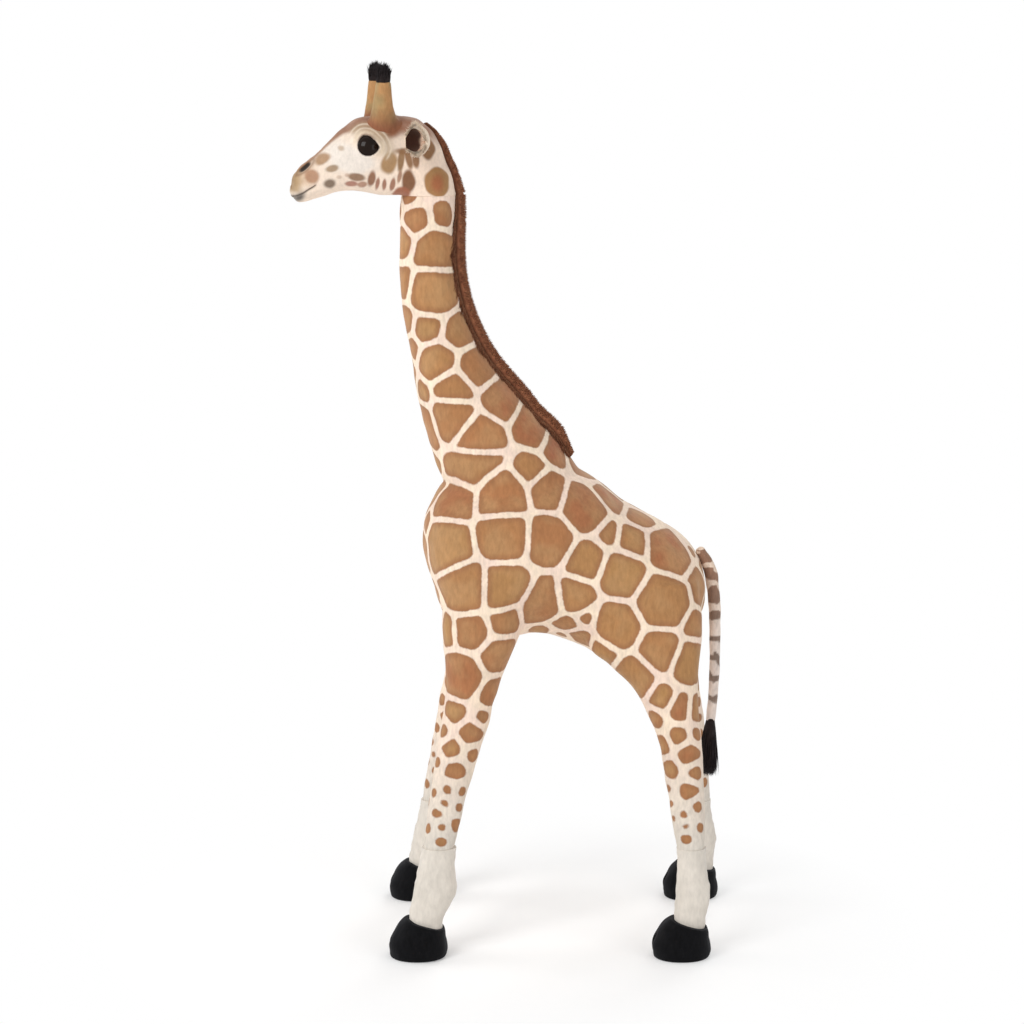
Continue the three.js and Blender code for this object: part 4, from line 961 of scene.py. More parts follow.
brush(crown_mask * (0.92 + 0.08 * mottle), "#8E5C42")
brush(crown_mask * step(ahead, 122, 160) * 0.6, "#A98468")
horn_ahead = HORN["ahead"] * HEAD["reach"]
horn_far = np.sqrt((cheek - HORN["spread"]) ** 2 + (ahead - horn_ahead) ** 2 + (up - 104) ** 2)
brush(1 - step(horn_far + 1.5 * mottle, 20, 33), "#8E5C42")
brush(step(ahead, 188, 203) * step(up, 2, 12) * (1 - step(up, 36, 48)) * 0.8, "#A28459")
brush(bump((ahead - 210) / 6) * step(up, 6, 16) * 0.6, "#80603E")
ring = bump((from_edge - 5.5) / 3.6) * near_eye * step(eye_up + 0.5 * eye_back, -14, 2)
brush(ring * 0.8, "#E2D0B6")
behind_eye = near_eye * step(eye_up + 0.8 * eye_back, -4, 10)
brush(bump((from_edge - 14) / 8) * behind_eye * 0.7, "#B9A286")
brush((bump((from_edge - 11) / 1.4) + bump((from_edge - 18) / 1.4)) * behind_eye * 0.7, "#E8D8C2")
brush(bump((from_edge - 1.6) / 1.2) * near_eye * step(eye_up, 4, 12) * 0.6, "#7C5A40")
brush((1 - step(from_edge, 0.1, 1.3)) * near_eye, "#1E120B")
brush((1 - step(nostril_far, 0.75, 1.3)) * nose_here, "#21150D")
brush(bump((nostril_far - 1.6) / 0.5) * 0.6 * nose_here, "#7E5A40")
brush(bump(mouth_far / 1.5) * mouth_here * 0.9, "#4A3B30")
lip = step(ahead, 184, 196) * bump((mouth_far + 4.2) / 6.2)
brush(lip * 0.92, "#4B4744")
note_colour(head.data, "face_paint", np.clip(paint, 0, 1))

face_plush, tree, bsdf = material("airbrushed_face_plush", **PLUSH, Sheen_Tint=rgba("#FFF4E6"))
painted = node(tree, "ShaderNodeAttribute", {"attribute_name": "face_paint"}).outputs["Color"]
pile(tree, bsdf, painted, clump_mm=2.0, depth_mm=0.5, contrast=0.1, brushed=0.7)
put(head.data, on_head(places(head.data)))
head.data.materials.append(face_plush)
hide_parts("head")
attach(head, "head")
print("face painted")

# %% [markdown]
# The eyes are moulded domes of dark, glossy plastic, a deep brown that is almost black. The dome
# is the top of a ball, worked out as a surface of revolution about the skin's normal.

# %% Eyes
eye_plastic, tree, bsdf = material("glossy_moulded_eye", Roughness=0.09, IOR=1.49,
                                   Specular_IOR_Level=0.13)
browns = blotched(tree, 12, "#0E0805", "#24160E", detail=1.0)
tree.links.new(browns, bsdf.inputs["Base Color"])
for side in (1, -1):
    label = side_name(side) + "_eye"
    turn = np.linspace(0, np.pi / 2, 24)
    radius = EYE["radius"] * np.cos(turn)
    height = EYE["bulge"] * np.sin(turn) - EYE["sunk"]
    radius = np.concatenate([[2.8, 2.8, EYE["radius"] - 0.6], radius])
    height = np.concatenate([[-14, -4.2, -4.2], height])
    flip = np.array([side, 1, 1])
    centre = seat * flip + (height * MM)[:, None] * seat_out * flip
    across = (radius * MM)[:, None] * seat_back * flip
    deep = (radius * MM)[:, None] * seat_up * flip
    flat, faces = closed(on_head(rings(centre[:-1], across[:-1], deep[:-1], 64)))
    eye = mesh_object(label + "_dome", flat, faces)
    eye.data.materials.append(eye_plastic)
    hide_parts(label)
    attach(eye, "head")
    print(label, (on_head(centre[-1:]) / MM).round(1).tolist())


# %% [markdown]
# Pile that is long enough to show is made of real strands: thin, three-sided, tapered hairs, each
# one standing for a lock of fibres. All of them are worked out together as arrays.

# %% Strands
def strands(roots, ways, lengths, thickness, droop=None, curl=0.0, rings_each=4, seed=1):
    """(vertices, faces) of tapered three-sided strands.
    Along a strand the point is root + way * length * s + droop * s squared, and curl adds a small
    random sideways bow that grows with s squared. The radius falls from thickness to a point."""
    random = np.random.default_rng(seed)
    count = len(roots)
    ways = ways / np.linalg.norm(ways, axis=1)[:, None]
    other = np.cross(ways, random.normal(size=(count, 3)))
    other /= np.linalg.norm(other, axis=1)[:, None]
    third = np.cross(ways, other)
    s = np.linspace(0, 1, rings_each + 1)
    drop = np.zeros((count, 3)) if droop is None else droop
    bow = (random.normal(size=(count, 1)) * other + random.normal(size=(count, 1)) * third) * curl
    spine = (roots[:, None] + (ways * lengths[:, None])[:, None] * s[:, None]
             + (drop + bow * lengths[:, None])[:, None] * (s * s)[:, None])
    angle = 2 * np.pi * np.arange(3) / 3
    ringlet = other[:, None] * np.cos(angle)[:, None] + third[:, None] * np.sin(angle)[:, None]
    radius = thickness[:, None] * (1 - s[:-1] ** 1.6 * 0.75)
    body = spine[:, :-1, None] + ringlet[:, None] * radius[..., None, None]
    each = rings_each * 3 + 1
    vertices = np.concatenate([body.reshape(count, -1, 3), spine[:, -1:]], 1).reshape(-1, 3)
    i = np.arange(rings_each - 1)[:, None] * 3
    k = np.arange(3)
    n = (k + 1) % 3
    walls = np.stack([i + k, i + n, i + 3 + n, i + 3 + k], -1).reshape(-1, 4)
    top = (rings_each - 1) * 3
    tip = np.stack([top + k, top + n, np.full(3, each - 1)], -1)
    foot = np.array([[2, 1, 0]])
    base = np.arange(count)[:, None, None] * each
    faces = (base + walls).reshape(-1, 4).tolist() + (base + tip).reshape(-1, 3).tolist()
    return vertices, faces + (base + foot).reshape(-1, 3).tolist()


def spots_along(random, length, count):
    """Random places along a row of the given length: the places, and a function that gives a
    column's or a table's values there, on straight lines between its rows."""
    pick = random.uniform(0, length - 1.001, count)
    i = pick.astype(int)

    def there(rows):
        w = pick - i if rows.ndim == 1 else (pick - i)[:, None]
        return rows[i] * (1 - w) + rows[i + 1] * w

    return pick, there


def join(name, *parts):
    """One mesh object of several (vertices, faces) pairs."""
    vertices, faces, base = [], [], 0
    for flat, own in parts:
        vertices.append(flat)
        faces += [[i + base for i in f] for f in own]
        base += len(flat)
    return mesh_object(name, np.concatenate(vertices), faces)


# %% [markdown]
# The mane is a strip of longer reddish-brown pile, sewn into the seam down the back of the neck.
# It has a solid core, because the pile is dense, and strands that stand out from the core.

# %% Mane
MANE_DEPTH = 17 * MM
MANE_WIDTH = 21 * MM
MANE_STRANDS = 5200
POLL_STRANDS = 1500
SIDE_LOCKS = 5600
MANE_HAIR = 0.75 * MM  # radius of a strand at its root
LOCK_HAIR = 0.8 * MM


def ridge(t, line):
    """Places, outward directions and directions along a form's back line, in the side view, in
    metres. The outward direction is the slope turned by a quarter and pointed away from the front."""
    front, back, _ = line(t)
    slope = line(t + 0.004)[1] - line(t - 0.004)[1]
    out = np.column_stack([slope[:, 1], -slope[:, 0]])
    out /= np.linalg.norm(out, axis=1)[:, None]
    flip = np.sign(((back - front) * out).sum(1))
    return back, out * flip[:, None], slope / np.linalg.norm(slope, axis=1)[:, None]


def mane_parts(here, out, along, depth, width, count, seed, first=0.0, last=0.0):
    """Core and strands of a mane along a line of the side view."""
    random = np.random.default_rng(seed)
    zero = np.zeros(len(here))
    deep_half = (depth * 0.78 + 0.012) / 2
    centre = np.column_stack([zero, here + out * (depth * 0.78 - deep_half)[:, None]])
    across = np.column_stack([width / 2 * 0.9, zero, zero])
    deep = np.column_stack([zero, out * deep_half[:, None]])
    core = closed(domed(rings(centre, across, deep, 40, 2.6), first=first, last=last))
    _, there = spots_along(random, len(here), count)
    spread = random.uniform(-1, 1, count)
    spot, way, tangent = there(here), there(out), there(along)
    sink = (0.25 + 0.2 * random.uniform(size=count)) * there(depth)
    roots = np.column_stack([spread * there(width) / 2 * 0.86, spot + way * sink[:, None]])
    fan = spread * 0.3 + random.normal(size=count) * 0.08
    lean = random.normal(size=count) * 0.08 + 0.12
    ways = np.column_stack([fan, way + tangent * -lean[:, None]])
    uneven = 1.0 + 0.08 * random.normal(size=count).clip(-1.5, 1.5)
    lengths = (there(depth) - sink) * uneven * (1 - 0.25 * spread ** 2)
    hair = strands(roots, ways, lengths, np.full(count, MANE_HAIR), curl=0.1, rings_each=3, seed=seed + 1)
    return core, hair


def side_locks(here, out, along, half_wide, half_deep, count, seed):
    """Strands that fall from a mane's sides over the coat. Each follows the neck's section, an
    ellipse that lies b * (1 - root of (1 - (x / a) squared)) below the ridge at x, and slopes down.
    Slow waves along the ridge change the length, so the lower edge is uneven."""
    random = np.random.default_rng(seed)
    pick, there = spots_along(random, len(here), count)
    side = np.where(random.uniform(size=count) < 0.5, -1.0, 1.0)
    a, b = there(half_wide), there(half_deep)
    spot, way, tangent = there(here), there(out), there(along)
    start = random.uniform(5, 15, count) * MM
    wave = lumps(np.column_stack([side * 0.05, spot]), 34 * MM, seed + 1)
    reach = (14 + 7.5 * wave + 2 * random.normal(size=count)).clip(4, 27) * MM
    reach *= np.interp(pick / len(here), [0, 0.08, 0.8, 1], [0.4, 1, 0.8, 0.15])
    reach = np.minimum(reach, 0.8 * a - start)
    below = lambda x: b * (1 - np.sqrt(1 - (x / a) ** 2))
    steep = b * start / a ** 2 / np.sqrt(1 - (start / a) ** 2)
    sag = below(start + reach) - below(start) - steep * reach
    lift = random.uniform(0.4, 1.6, count) * MM
    root = np.column_stack([side * start, spot + way * (lift - below(start))[:, None]])
    down = tangent * -(reach * random.uniform(0.5, 1.1, count))[:, None]
    ways = np.column_stack([side * reach, down - way * (steep * reach)[:, None]])
    droop = np.column_stack([np.zeros(count), -way * sag[:, None]])
    return strands(root, ways, np.linalg.norm(ways, axis=1), np.full(count, LOCK_HAIR), droop=droop,
                   curl=0.06, rings_each=3, seed=seed + 2)


def placed_side(points):
    """From the source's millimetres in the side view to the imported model's metres."""
    return points * MM + np.array([SHIFT_Y, 0])


def neck_back_line(t):
    """The neck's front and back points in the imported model's metres, and its width."""
    front, back, width = neck_line(t)
    return placed_side(front), placed_side(back), width


mane_t = np.linspace(0.1, 1.0, 120)
here, out, along = ridge(mane_t, neck_back_line)
depth = MANE_DEPTH * np.interp(mane_t, [0.1, 0.16, 1], [0.55, 1, 1])
width = MANE_WIDTH * np.interp(mane_t, [0.1, 0.15, 1], [0.6, 1, 1])
neck_front_there, neck_back_there, neck_wide = neck_line(mane_t)
neck_deep = np.linalg.norm(neck_back_there - neck_front_there, axis=1)
locks = side_locks(here, out, along, neck_wide / 2 * MM, neck_deep / 2 * MM, SIDE_LOCKS, 65)
core, hair = mane_parts(here, out, along, depth, width, MANE_STRANDS, 61, first=4 * MM, last=6 * MM)
mane = join("mane_pile", core, hair, locks)
mane_line, mane_rest = (here, out), places(mane.data)
# The mane turns with the upper neck, so at rest its top is already turned with the head.
mane_at = places(mane.data)
twist = HEAD_YAW * step(mane_at[:, 2], *TWIST)
rel = mane_at - HEAD_ORIGIN
turned = np.column_stack([rel[:, 0] * np.cos(twist) - rel[:, 1] * np.sin(twist),
                          rel[:, 0] * np.sin(twist) + rel[:, 1] * np.cos(twist), rel[:, 2]])
put(mane.data, turned + HEAD_ORIGIN)

poll_t = np.linspace(0.004, 0.29, 60)
here, out, along = ridge(poll_t, head_line)
poll_depth = MANE_DEPTH * np.interp(poll_t, [0, 0.06, 0.18, 0.29], [1, 0.78, 0.68, 0.25])
poll_width = MANE_WIDTH * np.interp(poll_t, [0, 0.2, 0.29], [1, 0.85, 0.4])
core, hair = mane_parts(here, out, along, poll_depth, poll_width, POLL_STRANDS, 63,
                        first=3 * MM, last=3 * MM)
poll = join("poll_mane_pile", (on_head(core[0]), core[1]), (on_head(hair[0]), hair[1]))

poll_rest = (places(poll.data) - HEAD_ORIGIN) @ YAW.T
for piece, line_at, line_out, local in ((mane, *mane_line, mane_rest), (poll, here, out, poll_rest)):
    nearest = ((local[:, None, 1:] - line_at[None]) ** 2).sum(2).argmin(1)
    stands_out = ((local[:, 1:] - line_at[nearest]) * line_out[nearest]).sum(1)
    if piece is mane:
        # The side locks lie on the coat. They get a middle value, so the material paints them partly in the
        # painted shade of the pile's base.
        stands_out[-len(locks[0]):] = (3.6 + 1.6 * lumps(locks[0], 14 * MM, 67)) * MM
    note(piece.data, "mane_out", stands_out)

mane_pile, tree, bsdf = material("reddish_brown_long_pile", **PLUSH, Sheen_Tint=rgba("#E8B890"))
reds = blotched(tree, 9, "#855039", "#A0694B", detail=3.0, edges=(0.35, 0.65))
# Where the pile stands less than 6.5 mm out from the neck's back line, its colour goes to a dark brown:
# painted shade at the base of the pile, between the strands.
from_coat = node(tree, "ShaderNodeAttribute", {"attribute_name": "mane_out"}).outputs["Fac"]
outer = node(tree, "ShaderNodeMapRange", Value=from_coat, From_Min=1 * MM, From_Max=6.5 * MM).outputs[0]
reds = node(tree, "ShaderNodeMix", COLOUR, i0=outer, i6=rgba("#5F3825"), i7=reds).outputs[2]
pile(tree, bsdf, reds, clump_mm=1.6, depth_mm=0.6, contrast=0.25)
for piece, name in ((mane, "mane"), (poll, "poll_mane")):
    piece.data.materials.append(mane_pile)
    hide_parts(name)
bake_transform(mane)
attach(poll, "head")
print("mane", len(mane.data.polygons), "poll", len(poll.data.polygons))

# %% [markdown]
# The horns are stuffed stubs of tan plush that flare into the crown, each with a tuft of black
# pile. The tuft is a small core with strands that part to one side at the tip.

# %% Horns and tufts
HORN_TABLE = [[0.0, 1.0], [0.3, 0.76], [0.55, 0.36], [0.8, 0.12], [1.0, 0.0]]
# Rings of the flare, in mm: what each adds to the stem's or the foot's radius, how far it stands
# off the head, and how much further it reaches behind.
FLARE = dict(narrow=3.5, narrow_off=0.5, narrow_behind=1.5, wide=2, wide_off=0.1, behind=7, under=2.8,
             under_off=-2.5)
HORN_TUFT = dict(strands=900, hair=0.85, wide=10, deep=9.5, length=27, core=22)
horn_plush, tree, bsdf = material("tan_short_plush", **PLUSH, Sheen_Tint=rgba("#FFE9CC"))
foot_share = node(tree, "ShaderNodeAttribute", {"attribute_name": "horn_rise"}).outputs["Fac"]
stem = blotched(tree, 22, "#A68A60", "#B4875A", detail=1.0, edges=(0.4, 0.6))
tan_now = node(tree, "ShaderNodeMix", COLOUR, i0=foot_share, i6=rgba("#8E5C42"), i7=stem).outputs[2]
pile(tree, bsdf, tan_now, clump_mm=2.0, depth_mm=0.6)
black_pile, tree, bsdf = material("black_long_pile", **BLACK_PLUSH, Sheen_Tint=rgba("#9A9AA2"))
pile(tree, bsdf, blotched(tree, 8, "#1C1717", "#352D2D"), clump_mm=1.6, depth_mm=0.5, contrast=0.4)


def flare_on_head(foot, side, top_ring):
    """Rings that lead a horn into the head. Each is a step of a quadratic Bezier curve per point,
    a (1 - s)^2 + 2 b s (1 - s) + c s^2, from the stem's lowest ring through a narrow ring on the
    head's surface to a wide one. A point gets onto the surface by moving along the surface's normal
    at the horn's foot, as far as the head point that is nearest to its line."""
    near = HEAD_NOW[(HEAD_NOW[:, 0] * side > -20 * MM) & (HEAD_NOW[:, 2] > 60 * MM)]
    top = near[np.hypot(*(near[:, :2] - foot[:2]).T).argsort()[:40]]
    top = top[top[:, 2] > top[:, 2].mean() - 20 * MM].mean(0)
    patch = near[np.linalg.norm(near - top, axis=1) < 16 * MM]
    normal = np.linalg.svd(patch - patch.mean(0))[2][2]
    normal *= np.sign(normal[2])
    one = np.cross([0, 1.0, 0], normal)
    one /= np.linalg.norm(one)
    two = np.cross(normal, one)
    angle = 2 * np.pi * np.arange(len(top_ring)) / len(top_ring)

    def ring_at(radius, lift, longer=0.0):
        behind = np.maximum(np.sin(angle), 0) - 0.6 * np.maximum(side * np.cos(angle), 0)
        reach = (radius + longer * behind)[:, None]
        flat_ring = top + reach * MM * (np.cos(angle)[:, None] * one + np.sin(angle)[:, None] * two)
        rel = near[None] - flat_ring[:, None]
        along = rel @ normal
        across = (rel ** 2).sum(2) - along ** 2 + np.where(np.abs(along) < 30 * MM, 0, 1)
        depth = along[np.arange(len(angle)), across.argmin(1)]
        depth = (np.roll(depth, 2) + np.roll(depth, 1) + depth + np.roll(depth, -1) + np.roll(depth, -2)) / 5
        return flat_ring + normal * (depth + lift * MM)[:, None]

    stem_radius = np.linalg.norm(top_ring - top_ring.mean(0), axis=1).mean() / MM
    low = ring_at(stem_radius + FLARE["narrow"], FLARE["narrow_off"], FLARE["narrow_behind"])
    wide = ring_at(HORN["foot"] + FLARE["wide"], FLARE["wide_off"], FLARE["behind"])
    under = ring_at(HORN["foot"] + FLARE["under"], FLARE["under_off"], FLARE["behind"])
    s = np.linspace(1, 0, 16)[:-1, None, None]
    curve = top_ring * (1 - s) ** 2 + 2 * low * s * (1 - s) + wide * s * s
    return np.concatenate([under[None], curve])


HEAD_NOW = (places(head.data) - HEAD_ORIGIN) @ YAW.T
horn_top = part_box("left_horn_tuft")[1].z - HEAD_ORIGIN[2]
horn_foot = horn_top / MM - HORN["tuft"] - HORN["height"] - 0.3
for side in (1, -1):
    prefix = side_name(side)
    foot = np.array([side * HORN["spread"], -HORN["ahead"] * HEAD["reach"], horn_foot])
    up_share, flare = run(HORN_TABLE, np.linspace(0, 1, 60)).T
    z = up_share * (HORN["height"] + HORN["sink"]) - HORN["sink"]
    stem_part = z > HORN["clear"]
    z, flare = z[stem_part], flare[stem_part]
    lean = side * HORN["out"] * z / (HORN["height"] + HORN["tuft"])
    half = (HORN["top"] + flare * (HORN["base"] - HORN["top"])) / 2
    zero = np.zeros(len(z))
    centre = (foot + np.column_stack([lean, zero, z])) * MM
    stem_rings = rings(centre, *level_axes(half * MM, half * MM), 72)
    flare_rings = flare_on_head(foot * MM, side, stem_rings[0])
    whole = domed(np.concatenate([flare_rings, stem_rings]), last=3 * MM)
    flat, faces = closed(whole)
    horn = mesh_object(prefix + "_horn_plush", on_head(flat), faces)
    at, out = places(horn.data), normals(horn.data)
    ring_number = np.repeat(np.arange(len(whole)), whole.shape[1])
    rise = np.append(step(ring_number / len(flare_rings), 0.35, 1.15), [0, 1])
    note(horn.data, "horn_rise", rise)
    put(horn.data, at + out * (0.5 * MM * lumps(at, 24 * MM, 71) * rise)[:, None])
    horn.data.materials.append(horn_plush)
    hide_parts(prefix + "_horn")
    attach(horn, "head")

    random = np.random.default_rng(81 + side)
    count = HORN_TUFT["strands"]
    tuft_foot = foot + np.array([side * HORN["out"] * HORN["height"] / (HORN["height"] + HORN["tuft"]), 0,
                                 HORN["height"]])
    angle = random.uniform(0, 2 * np.pi, count)
    far = np.sqrt(random.uniform(0, 1, count))
    low = random.uniform(0, 1, count) ** 1.3
    east, north = np.cos(angle) * far, np.sin(angle) * far
    ball = np.column_stack([east * HORN_TUFT["wide"], north * HORN_TUFT["deep"], low * 10 - 1])
    fan = np.column_stack([east * 0.3 + side * 0.1, north * 0.28, np.ones(count)])
    uneven = 1 + 0.2 * random.normal(size=count).clip(-1.7, 1.1)
    lengths = (HORN_TUFT["length"] - low * 7) * (1 - 0.38 * far ** 2) * uneven
    pull = np.column_stack([-east * 7, -north * 6, np.zeros(count)])
    hair = strands((tuft_foot + ball) * MM, fan, lengths * MM, np.full(count, HORN_TUFT["hair"] * MM),
                   droop=pull * MM, curl=0.12, seed=83 + side)
    s = np.linspace(0, 1, 14)
    core_half = np.interp(s, [0, 0.25, 0.6, 1], [10.2, 11.5, 8.5, 2.0])
    zero = np.zeros(len(s))
    core = rings((tuft_foot + np.column_stack([zero, zero, s * HORN_TUFT["core"]])) * MM,
                 *level_axes(core_half * MM, core_half * 0.95 * MM), 28)
    core = closed(domed(core, first=2 * MM, last=2 * MM))
    tuft = join(prefix + "_horn_tuft_pile", (on_head(core[0]), core[1]), (on_head(hair[0]), hair[1]))
    tuft.data.materials.append(black_pile)
    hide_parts(prefix + "_horn_tuft")
    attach(tuft, "head")
print("horn foot", round(horn_foot, 1), "mm above the joint")

# %% [markdown]
# Each ear is a cupped leaf: cream plush outside, a dark brown lining inside with a pinkish middle,
# and a fringe of longer pale fibres at the rim. It swings about its root seam.

# %% Ears
EAR = dict(length=84, width=50, thickness=9, cup=13, back=14, droop=20)
LINING = dict(start=0.24, end=0.9, width=0.7, thickness=3.2, proud=1.0)
FRINGE = dict(strands=1300, hair=0.4)
EAR_TABLE = [
    [-0.05, 0.36, 0.2, 0.0],
    [-0.036, 0.4, 0.72, 0.0],
    [0.0, 0.46, 1.0, 0.0],
    [0.1, 0.62, 1.0, 0.35],
    [0.28, 0.9, 1.0, 0.85],
    [0.46, 1.0, 0.95, 1.0],
    [0.64, 0.9, 0.85, 0.85],
    [0.8, 0.66, 0.75, 0.5],
    [0.92, 0.38, 0.6, 0.2],
    [1.0, 0.12, 0.3, 0.0],
]
ear_plush, tree, bsdf = material("ear_plush", **PLUSH, Sheen_Tint=rgba("#FFF4E6"))
ear_painted = node(tree, "ShaderNodeAttribute", {"attribute_name": "ear_paint"}).outputs["Color"]
pile(tree, bsdf, ear_painted, clump_mm=2.0, depth_mm=0.5, contrast=0.12, brushed=1.0)
lining_plush, tree, bsdf = material("dark_ear_lining_plush", **BLACK_PLUSH, Sheen_Tint=rgba("#E0C0A8"))
ear_painted = node(tree, "ShaderNodeAttribute", {"attribute_name": "ear_paint"}).outputs["Color"]
pile(tree, bsdf, ear_painted, clump_mm=1.8, depth_mm=0.5, contrast=0.3, brushed=1.0)
fringe_pile, tree, bsdf = material("cream_fringe_pile", **PLUSH, Sheen_Tint=rgba("#FFF4E6"))
cream_now = node(tree, "ShaderNodeRGB")
cream_now.outputs[0].default_value = rgba("#EBD9C4")
pile(tree, bsdf, cream_now.outputs[0], clump_mm=1.6, depth_mm=0.4)


def ear_rings(side, t, sides, width=1.0, thickness=None, set_back=0.0):
    """Sections of an ear along its leaf, in its own frame, in millimetres."""
    reach, wide, thick, cup = run(EAR_TABLE, t).T
    zero = np.zeros(len(t))
    centre = np.column_stack([side * reach * EAR["length"],
                              np.maximum(reach, 0) * EAR["back"] + set_back, -reach * reach * EAR["droop"]])
    across = np.column_stack([zero, zero, wide * EAR["width"] * width / 2])
    half = (thick * EAR["thickness"] if thickness is None else np.full(len(t), thickness)) / 2
    deep = np.column_stack([zero, half, zero])
    angle = 2 * np.pi * np.arange(sides) / sides
    c = np.cos(angle)
    points = rings(centre, across, deep, sides, 2.3)
    points[..., 1] += (cup * EAR["cup"])[:, None] * (1 - c * c)
    return points


ear_joints = {j["child"]: j for j in frame["joints"] if j["child"].endswith("_ear")}
for side in (1, -1):
    prefix = side_name(side)
    joint = ear_joints[prefix + "_ear"]
    hinge = np.array(joint["pos_m"], float)
    seam = np.array(joint["axis"], float)
    ear_back = np.array([-math.sin(HEAD_YAW), math.cos(HEAD_YAW), 0.0])
    ear_out = np.cross(ear_back, seam)
    basis = np.stack([ear_out, ear_back, seam])

    def on_ear(points):
        """From the ear's own frame, in millimetres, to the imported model's."""
        return points @ basis * MM + hinge

    flat, faces = closed(ear_rings(side, np.linspace(0, 1, 90), 90))
    along = np.abs(flat[:, 0]) / EAR["length"]
    ear = mesh_object(prefix + "_ear_plush", on_ear(flat), faces)
    at, out = places(ear.data), normals(ear.data)
    facing_front = -(out @ ear_back)
    ear_paint = np.tile(linear("#EBD8C2"), (len(at), 1))
    back_share = (step(-facing_front, 0.2, 0.8) * (1 - step(along, 0.55, 0.95)) * 0.5)[:, None]
    ear_paint = ear_paint * (1 - back_share) + linear("#B08A66") * back_share
    note_colour(ear.data, "ear_paint", ear_paint)
    put(ear.data, at + out * (0.5 * MM * lumps(at, 22 * MM, 91))[:, None])
    ear.data.materials.append(ear_plush)
    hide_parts(prefix + "_ear")
    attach(ear, prefix + "_ear")

    lining_t = np.linspace(LINING["start"], LINING["end"], 60)
    flat, faces = closed(ear_rings(side, lining_t, 70, LINING["width"], LINING["thickness"],
                                   -EAR["thickness"] / 2 + LINING["proud"]))
    lining = mesh_object(prefix + "_ear_lining_plush", on_ear(flat), faces)
    along = np.abs(flat[:, 0]) / EAR["length"]
    level = (flat[:, 2] + along ** 2 * EAR["droop"]) / EAR["width"]
    wedge = 0.05 + 0.34 * step(along, 0.3, 0.72)
    pink = step(along, 0.28, 0.46) * (1 - step(np.abs(level + 0.07 * along) - wedge, -0.07, 0.07))
    streak = 0.5 + 0.5 * np.sin(level * 60 + 4 * lumps(flat * MM, 20 * MM, 93))
    share = np.clip(pink * (0.7 + 0.3 * streak), 0, 1)[:, None]
    lining_paint = linear("#2E170E") * (1 - share) + linear("#CDAB93") * share
    note_colour(lining.data, "ear_paint", lining_paint)
    lining.data.materials.append(lining_plush)
    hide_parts(prefix + "_ear_lining")
    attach(lining, prefix + "_ear")

    random = np.random.default_rng(95 + side)
    count = FRINGE["strands"]
    t = random.uniform(0.18, 0.99, count)
    reach, wide, _, cup = run(EAR_TABLE, t).T
    edge = np.where(random.uniform(size=count) < 0.5, -1.0, 1.0)
    ring_c = edge * random.uniform(0.86, 1.0, count)
    root = np.column_stack([side * reach * EAR["length"],
                            np.maximum(reach, 0) * EAR["back"] + cup * EAR["cup"] * (1 - ring_c ** 2) - 1.5,
                            -reach ** 2 * EAR["droop"] + ring_c * wide * EAR["width"] / 2])
    tipward = step(t, 0.55, 1.0)
    way = np.column_stack([side * (0.75 + 0.6 * tipward), -0.35 + 0.3 * random.normal(size=count),
                           edge * (0.35 - 0.3 * tipward) + 0.15 * random.normal(size=count)])
    lengths = (7.0 + 4.5 * tipward) * (1 + 0.25 * random.normal(size=count).clip(-1.5, 1.5)) * MM
    way_out = way @ basis
    hair = strands(on_ear(root), way_out, lengths, np.full(count, FRINGE["hair"] * MM), curl=0.15,
                   rings_each=3, seed=97 + side)
    fringe = join(prefix + "_ear_fringe", hair)
    fringe.data.materials.append(fringe_pile)
    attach(fringe, prefix + "_ear")
print("ears at", {k: v["pos_m"] for k, v in ear_joints.items()})

# %% [markdown]
# The tail is a thin stuffed tube with brown bands, bowed away from the rump, and it ends in a long
# black tuft whose strands draw together to a point.

# %% Tail
TAIL = dict(length=268, diameter=18, bow=23, tuft=92)
TAIL_TUFT = dict(strands=1500, hair=0.9, wide=6.5, deep=5.5, root_high=34, core=74, core_flat=0.66)
TAIL_BANDS = 8.3
TAIL_TABLE = [
    [-0.025, 0.0, 0.25],
    [-0.018, 0.0, 0.57],
    [0.0, 0.0, 0.9],
    [0.045, 0.29, 1.12],
    [0.13, 0.68, 1.14],
    [0.3, 0.93, 1.04],
    [0.46, 1.0, 0.94],
    [0.68, 1.0, 0.88],
    [0.86, 0.92, 0.84],
    [1.0, 0.78, 0.8],
]
tail_hinge = np.array(next(j for j in frame["joints"] if j["child"] == "tail")["pos_m"], float)
down, off, thick = run(TAIL_TABLE, np.linspace(0, 1, 200)).T
zero = np.zeros(200)
centre = np.column_stack([zero, off * TAIL["bow"], -down * TAIL["length"]]) * MM + tail_hinge
half = thick * TAIL["diameter"] / 2 * MM
flat, faces = closed(rings(centre, *level_axes(half, half), 48))
tail = mesh_object("tail_plush", flat, faces)
at, out = places(tail.data), normals(tail.data)
drop = (tail_hinge[2] - at[:, 2]) / (TAIL["length"] * MM)
put(tail.data, at + out * (0.5 * MM * lumps(at, 30 * MM, 101) * step(drop, 0.02, 0.1))[:, None])
band = np.sin(drop * 2 * np.pi * TAIL_BANDS + 1.3 * lumps(at, 30 * MM, 102) + 0.6 * at[:, 0] / (9 * MM))
more_brown = 0.55 * (1 - step(drop, 0.1, 0.4))
spots = step(band + 0.45 * lumps(at, 12 * MM, 103) + more_brown, 0.05, 0.5) * (1 - step(drop, 0.86, 0.96))
fade = step(drop, 0.0, 0.6)
share = (spots * 0.9)[:, None]
brown = linear("#8A6048") * (1 - fade[:, None]) + linear("#7A6456") * fade[:, None]
pale = linear("#EBD3BE") * (1 - fade[:, None]) + linear("#E9DAD0") * fade[:, None]
tail_paint = pale * (1 - share) + brown * share
note_colour(tail.data, "tail_paint", tail_paint)
tail_plush, tree, bsdf = material("banded_tail_plush", **PLUSH, Sheen_Tint=rgba("#FFF4E6"))
